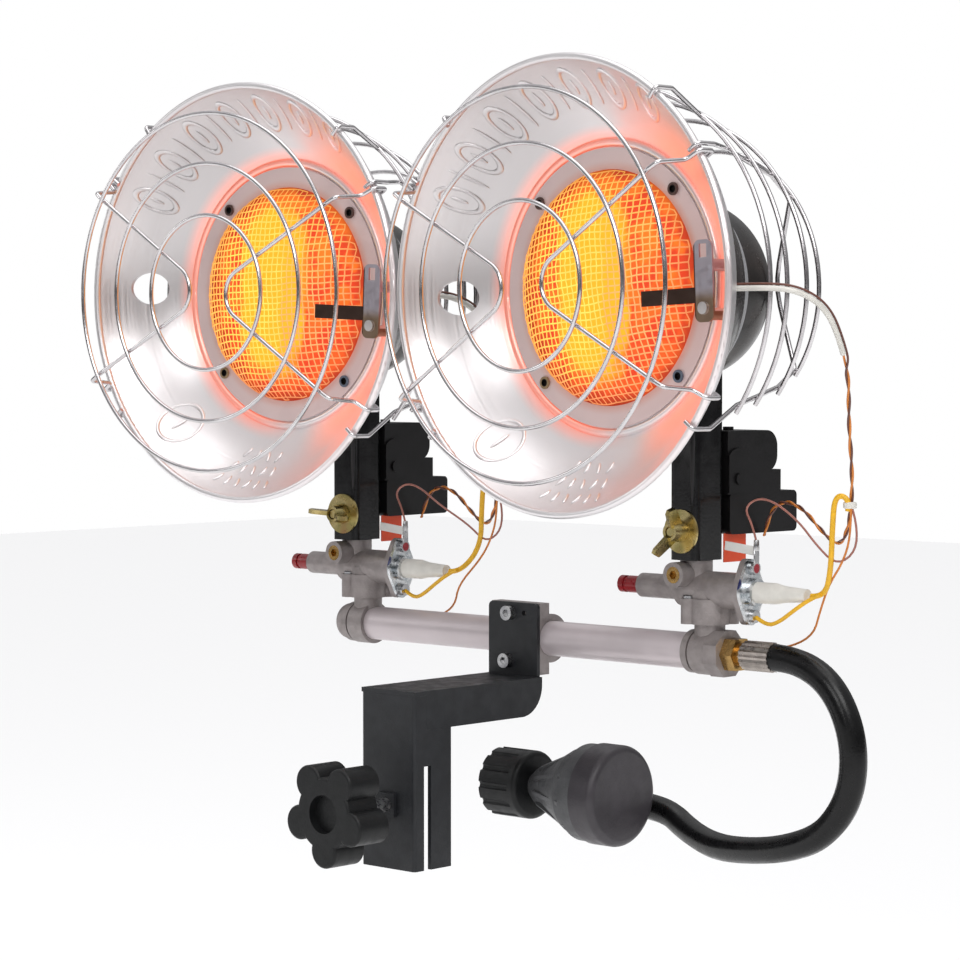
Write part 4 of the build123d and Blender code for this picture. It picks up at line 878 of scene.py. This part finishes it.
def sensor_pair(side):
    """White sleeve behind the dish, and the two wires that wind about each other below it."""
    place = head_matrix(side, twisted=False)
    line = curve_line([place @ point for point in sensor_points(side)])
    brown = tube_mesh("brown_wire_" + side, wound(line, SENSOR_BESIDE, 0.0), SENSOR_WIRE,
                      plain("brown_wire"), 2)
    orange = tube_mesh("orange_wire_" + side, wound(line, 0.0, math.pi), SENSOR_WIRE,
                       plain("orange_wire"), 2)
    sleeve = tube_mesh("wire_sleeve_" + side, line[:SLEEVED:SLEEVE_SKIP] + [line[SLEEVED]],
                       sizes().lead, white_sleeve(), 3)
    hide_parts("sensor_lead_" + side)
    for piece in (brown, orange, sleeve):
        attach(piece, "head_" + side)


def thin_lead(name, side, points, radius, material):
    """Extra lead of the valve, as a piece and its points in metres."""
    place = valve_matrix(side)
    points = [place @ Vector(p) for p in points]
    lead = tube_mesh(name + "_" + side, points, radius, material, 4)
    curve_line(points)
    return lead, points


class OBJECT_OT_heater_cords(bpy.types.Operator):
    """Lay the gas hose, the sensor leads and the valve leads"""
    bl_idname = "object.heater_cords"
    bl_label = "Hose and Leads"

    def execute(self, context):
        route = [metres(p) for p in HOSE_ROUTE]
        hose = route_curve("hose_line", route, sizes().hose, plain("hose_rubber"))
        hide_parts("gas_hose")
        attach(hose, "frame")
        for side in SIDES:
            sensor_pair(side)
            place = valve_matrix(side)
            points = [place @ point for point in valve_lead_points(side)]
            lead = tube_mesh("valve_line_" + side, points, sizes().lead, plain("yellow_wire"))
            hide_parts("valve_lead_" + side)
            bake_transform(lead)
            curve_line(points)
            self.extra_leads(side)
        return {"FINISHED"}

    def extra_leads(self, side):
        """Thin leads: lug to tie, manifold to tie, and valve cover to sleeve."""
        tie = lead_meeting(side)
        bow = shifted(Vector((LUG_X, 0, LUG_TOP)), GROUND_FROM_LUG) + shifted(tie, GROUND_TO_TIE)
        lead, points = thin_lead("ground_lead", side, bow, THIN_WIRE, plain("pink_wire"))
        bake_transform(lead)
        up = [*RETURN_START, *shifted(tie, RETURN_TO_TIE)]
        lead, points = thin_lead("return_lead", side, up, THIN_WIRE, plain("orange_wire"))
        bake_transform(lead)
        lead, points = thin_lead("cover_lead", side, COVER_ROUTE, COVER_WIRE,
                                 plain("yellow_wire"))
        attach(lead, "frame")


# ---- stage
def studio_world():
    """White room to the eye, and a dim one with a bright ceiling in what the metal reflects."""
    world = bpy.data.worlds.new("studio")
    world.use_nodes = True
    nodes, links = world.node_tree.nodes, world.node_tree.links
    dim = nodes["Background"]
    split = nodes.new("ShaderNodeSeparateXYZ")
    links.new(nodes.new("ShaderNodeTexCoord").outputs["Generated"], split.inputs[0])
    ramp = nodes.new("ShaderNodeValToRGB")
    fill_ramp(ramp.color_ramp, [(at, (*colour, 1)) for at, colour in WORLD_STOPS])
    links.new(split.outputs["Z"], ramp.inputs["Fac"])
    links.new(ramp.outputs["Color"], dim.inputs["Color"])
    white = nodes.new("ShaderNodeBackground")
    white.inputs["Color"].default_value = (1, 1, 1, 1)
    mix = nodes.new("ShaderNodeMixShader")
    links.new(nodes.new("ShaderNodeLightPath").outputs["Is Camera Ray"], mix.inputs["Fac"])
    links.new(dim.outputs[0], mix.inputs[1])
    links.new(white.outputs[0], mix.inputs[2])
    links.new(mix.outputs[0], nodes["World Output"].inputs["Surface"])
    return world


class OBJECT_OT_heater_stage(bpy.types.Operator):
    """Set up the floor, the soft lights and the camera"""
    bl_idname = "object.heater_stage"
    bl_label = "Stage"

    def execute(self, context):
        scene = context.scene
        scene.view_settings.view_transform = "Standard"
        camera_data = bpy.data.cameras.new("camera")
        camera_data.lens = CAMERA_LENS
        camera_data.sensor_width = CAMERA_SENSOR
        camera = bpy.data.objects.new("camera", camera_data)
        camera.location = CAMERA_AT
        camera.rotation_euler = [math.radians(a) for a in CAMERA_TURN]
        scene.collection.objects.link(camera)
        scene.camera = camera
        bm = bmesh.new()
        bmesh.ops.create_grid(bm, x_segments=2, y_segments=2, size=FLOOR_HALF,
                              matrix=Matrix.Translation((0, 0, FLOOR_Z)))
        floor = Finish("floor_paper", FLOOR_COLOUR, 0.0, 0.9).material
        new_object("floor", bm, Matrix.Identity(4), floor)
        scene.world = studio_world()
        for name, place, aim, size, power in LIGHTS:
            light = bpy.data.lights.new(name, "AREA")
            light.shape = "DISK"
            light.size = size
            light.energy = power
            lamp = bpy.data.objects.new(name, light)
            lamp.location = place
            look = Vector(aim) - Vector(place)
            lamp.rotation_euler = look.to_track_quat("-Z", "Y").to_euler()
            scene.collection.objects.link(lamp)
        sky = bpy.data.lights.new("ceiling", "SUN")
        sky.energy = CEILING_POWER
        sky.angle = math.radians(CEILING_SPREAD)
        scene.collection.objects.link(bpy.data.objects.new("ceiling", sky))
        return {"FINISHED"}


# ---- guards
def front_guard_wire(bm, wire, turn):
    """One V of the front guard: from hook to hook, with its point at the dish axis."""
    behind = GUARD_AT - 2 * wire + WELD
    last = GUARD_RINGS[-1]
    foot = RIM[1] - HOOK_LENGTH

    def arm(angle):
        places = [(HOOK_OUT - HOOK_FOOT, foot), (HOOK_OUT, foot),
                  (HOOK_OUT, HOOK_FRONT + HOOK_STEP),
                  (last + ARM_SHOULDER[0], HOOK_FRONT + ARM_SHOULDER[1]),
                  (last + ARM_ELBOW[0], behind - ARM_ELBOW[1]), (last + ARM_RISE, behind)]
        return [polar(radius, front, angle + turn) for radius, front in places]

    points = arm(GUARD_ARM) + [Vector((0, -behind, 0))] + arm(-GUARD_ARM)[::-1]
    bent_wire(bm, points, [*HOOK_BENDS, GUARD_VERTEX, *HOOK_BENDS[::-1]], wire)


def rear_guard_wires(bm, wire):
    """The rear cage's two long wires across its rings, and its two clips at the rim."""
    inside = 2 * wire - WELD
    out = HOOK_OUT + CAGE_OUTSIDE
    over = HOOK_FRONT + CAGE_OUTSIDE

    def hook(angle):
        places = (out - CAGE_HOOK_LEG, over), (out, over), (out, RIM[1] - CAGE_HOOK_LENGTH)
        return [polar(radius, front, angle) for radius, front in places]

    def along(angles):
        return [polar(r - inside, f, a) for (r, f), a in zip(CAGE_RINGS, angles)]

    points = hook(CAGE_UPPER_HOOK) + along(CAGE_UPPER)
    points += [Vector((CAGE_VERTEX, -CAGE_RINGS[-1][1], 0))]
    points += along(CAGE_LOWER)[::-1] + hook(CAGE_LOWER_HOOK)[::-1]
    bends = [*CAGE_BENDS, CAGE_VERTEX_BEND, *CAGE_BENDS[::-1]]
    first, at = CAGE_RINGS[0]
    clip = hook(CAGE_CLIP[0]) + [polar(first - inside, at - CAGE_CLIP_FOOT, CAGE_CLIP[1])]
    for flip in (1, -1):
        bent_wire(bm, [Vector((p.x * flip, p.y, p.z)) for p in points], bends, wire)
        bent_wire(bm, [Vector((p.x * flip, p.y, p.z)) for p in clip], CAGE_BENDS[:2], wire)


class OBJECT_OT_heater_guards(bpy.types.Operator):
    """Bend and weld the wire guards in front of and behind each dish"""
    bl_idname = "object.heater_guards"
    bl_label = "Wire Guards"

    def execute(self, context):
        wire = sizes().wire / MM
        for side in SIDES:
            bm = bmesh.new()
            for radius in GUARD_RINGS:
                wire_ring(bm, radius, GUARD_AT, wire)
            front_guard_wire(bm, wire, 0)
            front_guard_wire(bm, wire, 180)
            front = new_object("front_wires_" + side, bm, head_matrix(side),
                               plain("nickel_wire"))
            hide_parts("front_guard_" + side)
            bm = bmesh.new()
            for radius, at in CAGE_RINGS:
                wire_ring(bm, radius, at, wire, -CAGE_END, 180 + CAGE_END, CAGE_STEPS)
            rear_guard_wires(bm, wire)
            rear = new_object("rear_wires_" + side, bm, head_matrix(side),
                              plain("nickel_wire"))
            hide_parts("rear_guard_" + side)
            for piece in (front, rear):
                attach(piece, "head_" + side)
        return {"FINISHED"}


# ---- dish and screen
def wall_arc():
    """Centre and radius of the dish wall's hollow, in (radius, front) millimetres."""
    top, foot = Vector(WALL_TOP), Vector(WALL_FOOT)
    chord = (top - foot).length
    out = Vector(((top - foot).y, -(top - foot).x)) / chord
    radius = (chord ** 2 / 4 + WALL_SAG ** 2) / (2 * WALL_SAG)
    return (top + foot) / 2 + out * (WALL_SAG - radius), radius


def wall_point(share):
    """Point and slope of the dish wall, from its foot (0) to the rim (1)."""
    centre, radius = wall_arc()
    foot = Vector(WALL_FOOT) - centre
    top = Vector(WALL_TOP) - centre
    a = math.atan2(foot.y, foot.x)
    b = math.atan2(top.y, top.x)
    angle = a + (b - a) * share
    spot = centre + Vector((math.cos(angle), math.sin(angle))) * radius
    return spot, Vector((-math.sin(angle), math.cos(angle))) * (1 if b > a else -1)


def wall_frame(share, angle):
    """Place on the dish wall: x up the slope, y round it and z out of it."""
    spot, slope = wall_point(share)
    along = polar(slope.x, slope.y, angle).normalized()
    around = polar(1, 0, angle + 90)
    turn = Matrix((along, around, along.cross(around))).transposed().to_4x4()
    return Matrix.Translation(polar(spot.x, spot.y, angle)) @ turn


def seat_on_wall(bm, verts, place):
    """Bend new relief to the wall's curve, keep it clear of the back and put it in place."""
    for vert in verts:
        vert.co.z += vert.co.x ** 2 / (2 * WALL_BEND) + RELIEF_LIFT
    bmesh.ops.transform(bm, matrix=place, verts=verts)


def pressed_rib(bm, share, angle, length, width, height, slant=0.0):
    """Raised oblong rib on the dish wall, along the slope."""
    place = wall_frame(share, angle) @ Matrix.Rotation(slant, 4, "Z")
    ball = bmesh.ops.create_uvsphere(bm, u_segments=16, v_segments=10, radius=1.0,
                                     matrix=Matrix.Diagonal((length / 2, width / 2, height, 1)))
    seat_on_wall(bm, ball["verts"], place)


def pressed_loop(bm, share, angle, length, width, wire, height):
    """Raised oblong loop on the dish wall: a round-wired ring, stretched and flattened."""
    circle = bmesh.ops.create_circle(bm, segments=LOOP_SIDES, radius=wire,
                                     matrix=facing((width / 2, 0, 0), (0, 1, 0)))
    old = set(bm.verts) - set(circle["verts"])
    bmesh.ops.spin(bm, geom=edges_of(circle["verts"]), cent=(0, 0, 0), axis=(0, 0, 1),
                   angle=2 * math.pi, steps=LOOP_STEPS, use_merge=True)
    fresh = [v for v in bm.verts if v not in old]
    bmesh.ops.transform(bm, matrix=Matrix.Diagonal((length / width, 1, height / wire, 1)),
                        verts=fresh)
    seat_on_wall(bm, fresh, wall_frame(share, angle))


class OBJECT_OT_heater_dishes(bpy.types.Operator):
    """Finish the dishes and press the loops and ribs into their walls"""
    bl_idname = "object.heater_dishes"
    bl_label = "Dishes"

    def execute(self, context):
        for side in SIDES:
            finish = spun_dish(side)
            paint(finish, "reflector_" + side)
            paint(flat_ring(side), "burner_ring_" + side)
            bm = bmesh.new()
            self.upper_relief(bm)
            self.lower_relief(bm)
            ribs = new_object("dish_ribs_" + side, bm, head_matrix(side), finish,
                              RELIEF_SMOOTH)
            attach(ribs, "head_" + side)
        return {"FINISHED"}

    def upper_relief(self, bm):
        """Row of loops, each with a rib in it, and ribs between them."""
        length = sizes().rib_length / MM
        for index in range(LOOP_COUNT):
            angle = LOOP_START + index * LOOP_STEP
            pressed_loop(bm, LOOP_SHARE, angle, length, LOOP_WIDTH, LOOP_WIRE, LOOP_HEIGHT)
            pressed_rib(bm, LOOP_SHARE, angle, length * INNER_RIB_LENGTH, *INNER_RIB)
            if index < LOOP_COUNT - 1:
                pressed_rib(bm, LOOP_SHARE, angle + LOOP_STEP / 2, length, *BETWEEN_RIB)

    def lower_relief(self, bm):
        """A large loop with a rib in it, and rows of short slanted ribs."""
        pressed_loop(bm, SIGN_SHARE, SIGN_ANGLE, *SIGN_LOOP)
        pressed_rib(bm, SIGN_SHARE, SIGN_ANGLE, *SIGN_RIB)
        for share, count, step in DASH_ROWS:
            for index in range(count):
                angle = DASH_ANGLE + (index - (count - 1) / 2) * step
                pressed_rib(bm, share, angle, *DASH, DASH_SLANT * (index % 3 - 1))


class OBJECT_OT_heater_screens(bpy.types.Operator):
    """Weave the domed screens and light the tiles behind them"""
    bl_idname = "object.heater_screens"
    bl_label = "Glowing Screens"

    def execute(self, context):
        lay = Matrix.Translation((0, -SCREEN_BASE, 0))
        lay = lay @ Matrix.Rotation(math.radians(90), 4, "X")
        for side in SIDES:
            screen = new_object("screen_weave_" + side, self.weave(side),
                                head_matrix(side) @ lay, glowing_screen(side), SCREEN_SMOOTH)
            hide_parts("emitter_screen_" + side)
            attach(screen, "head_" + side)
            paint(glowing_tile(side), "emitter_plate_" + side)
        return {"FINISHED"}

    def weave(self, side):
        """Grid of crossing wires, alternately over and under, laid over a dome."""
        pitch = sizes().screen_pitch / MM
        cells = int(2 * SCREEN_EDGE / pitch) + 2
        half = cells * pitch / 2
        bm = bmesh.new()
        bmesh.ops.create_grid(bm, x_segments=cells, y_segments=cells, size=half)
        for v in bm.verts:
            across, up = (round((c + half) / pitch) for c in v.co.xy)
            v.co.z = WEAVE_RISE * (1 if (across + up) % 2 else -1)
        bmesh.ops.rotate(bm, verts=bm.verts, cent=(0, 0, 0),
                         matrix=Matrix.Rotation(WEAVE_TURN, 3, "Z"))
        shift = Vector((SIDES[side] * WEAVE_SHIFT, 0, 0))
        for v in bm.verts:
            v.co.xy += noise.noise_vector(v.co * WEAVE_WAVES + shift).xy * WEAVE_WANDER
        outside = [v for v in bm.verts if v.co.xy.length > SCREEN_EDGE + CELL_KEPT * pitch]
        bmesh.ops.delete(bm, geom=outside, context="VERTS")
        for v in bm.verts:
            if v.co.xy.length > SCREEN_EDGE:
                v.co.xy = v.co.xy.normalized() * SCREEN_EDGE
                v.co.z = 0
            v.co.z += SCREEN_RISE * math.sqrt(1 - (v.co.xy.length / SCREEN_R) ** 2)
        bmesh.ops.wireframe(bm, faces=bm.faces, thickness=sizes().screen_wire / MM,
                            use_replace=True, use_boundary=True, use_even_offset=True)
        return bm


# ---- the rest of each head
class OBJECT_OT_heater_burners(bpy.types.Operator):
    """Finish the bowls, masts, sensors, switches and wing nuts"""
    bl_idname = "object.heater_burners"
    bl_label = "Burners and Masts"

    def execute(self, context):
        paint_both(plain("black_enamel"), "mast")
        paint_both(plain("switch_plastic"), "tip_switch")
        paint_both(screw_steel(), "mixing_tube")
        paint_both(yellow_zinc(), "wing_stud", "wing_washer", "wing_nut")
        for side in SIDES:
            paint(burnt_enamel(side), "burner_bowl_" + side, "burner_cup_" + side)
            paint(burnt_screw(side), "ring_screws_" + side)
            paint(sensor_steel(side), "sensor_bracket_" + side)
            bm = bmesh.new()
            soft_block(bm, CARD, Matrix.Translation(CARD_AT), 0.25)
            card = new_object("switch_card_" + side, bm, head_matrix(side, twisted=False),
                              plain("orange_card"))
            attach(card, "head_" + side)
        return {"FINISHED"}


# ---- valves and manifold
class OBJECT_OT_heater_valves(bpy.types.Operator):
    """Finish the valves, the tees and the manifold tube"""
    bl_idname = "object.heater_valves"
    bl_label = "Valves and Manifold"

    def execute(self, context):
        paint_both(plain("die_casting"), "valve_body")
        paint(plain("die_casting"), "tee_left", "tee_right", "pipe_saddle")
        paint(plain("manifold_paint"), "manifold_tube")
        paint_both(plain("red_plastic"), "push_button")
        paint(bright_zinc(), "valve_covers")
        paint(plain("fluted_zinc"), "hose_ferrule")
        paint(screw_steel(), "valve_screws", "saddle_screws", "clamp_stud")
        paint(plain("machined_brass"), "valve_plugs", "gas_jets", "hose_fitting")
        paint(white_sleeve(), "lead_sleeves")
        for side in SIDES:
            for name, make, finish, slot, body in (
                    ("lead_lug_", self.lug, screw_steel(), "bright_zinc", "frame"),
                    ("white_tag_", self.tag, plain("white_card"), "white_lead", "frame"),
                    ("lead_tie_", self.tie, white_sleeve(), "white_lead", "head_" + side)):
                bm = bmesh.new()
                make(bm, side)
                piece = new_object(name + side, bm, valve_matrix(side), finish)
                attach(piece, body)
        return {"FINISHED"}

    def lug(self, bm, side):
        """Crimped lug that stands up from the cover's top screw."""
        soft_block(bm, LUG_BLADE, Matrix.Translation((LUG_X, 0, LUG_TOP - LUG_BLADE_DOWN)), 0.3)
        soft_drum(bm, (LUG_X, 0, LUG_TOP - LUG_CRIMP_DOWN), *LUG_CRIMP)

    def tag(self, bm, side):
        """Blank paper tag round the wire at the lug."""
        tilt = Matrix.Rotation(math.radians(TAG_TILT), 4, "Y")
        soft_block(bm, TAG, Matrix.Translation(TAG_AT) @ tilt, 0.2)

    def tie(self, bm, side):
        """Small clear tie where the leads come together."""
        soft_drum(bm, lead_meeting(side) + Vector((0, LEAD_BESIDE / 2, 0)), *TIE)


# ---- bracket and regulator
class OBJECT_OT_heater_bracket(bpy.types.Operator):
    """Finish the bracket, the star knob and the regulator"""
    bl_idname = "object.heater_bracket"
    bl_label = "Bracket and Regulator"

    def execute(self, context):
        paint(plain("powder_coat"), "bracket_arm", "bracket_channel")
        paint(plain("knob_plastic"), "clamp_knob", "coupling_nut")
        paint(plain("gray_paint"), "regulator_cap")
        paint(plain("dark_casting"), "regulator_body")
        return {"FINISHED"}


# ---- panel and registration
OPERATORS = [OBJECT_OT_heater_stage, OBJECT_OT_heater_cords, OBJECT_OT_heater_guards,
             OBJECT_OT_heater_dishes, OBJECT_OT_heater_screens, OBJECT_OT_heater_burners,
             OBJECT_OT_heater_valves, OBJECT_OT_heater_bracket]


class VIEW3D_PT_heater(bpy.types.Panel):
    bl_label = "Twin Heater"
    bl_idname = "VIEW3D_PT_heater"
    bl_space_type = "VIEW_3D"
    bl_region_type = "UI"
    bl_category = "Heater"

    def draw(self, context):
        for group in (context.scene.heater_sizes, context.scene.heater_colours):
            column = self.layout.column()
            for name in group.__annotations__:
                column.prop(group, name)
        for operator in OPERATORS:
            self.layout.operator(operator.bl_idname)


CLASSES = [HeaterSizes, HeaterColours, *OPERATORS, VIEW3D_PT_heater]


def register():
    for cls in CLASSES:
        bpy.utils.register_class(cls)
    bpy.types.Scene.heater_sizes = bpy.props.PointerProperty(type=HeaterSizes)
    bpy.types.Scene.heater_colours = bpy.props.PointerProperty(type=HeaterColours)


def unregister():
    del bpy.types.Scene.heater_colours
    del bpy.types.Scene.heater_sizes
    for cls in reversed(CLASSES):
        bpy.utils.unregister_class(cls)


def main():
    register()
    for operator in OPERATORS:
        category, name = operator.bl_idname.split(".")
        getattr(getattr(bpy.ops, category), name)()
    bpy.context.view_layer.update()


if __name__ == "__main__":
    main()
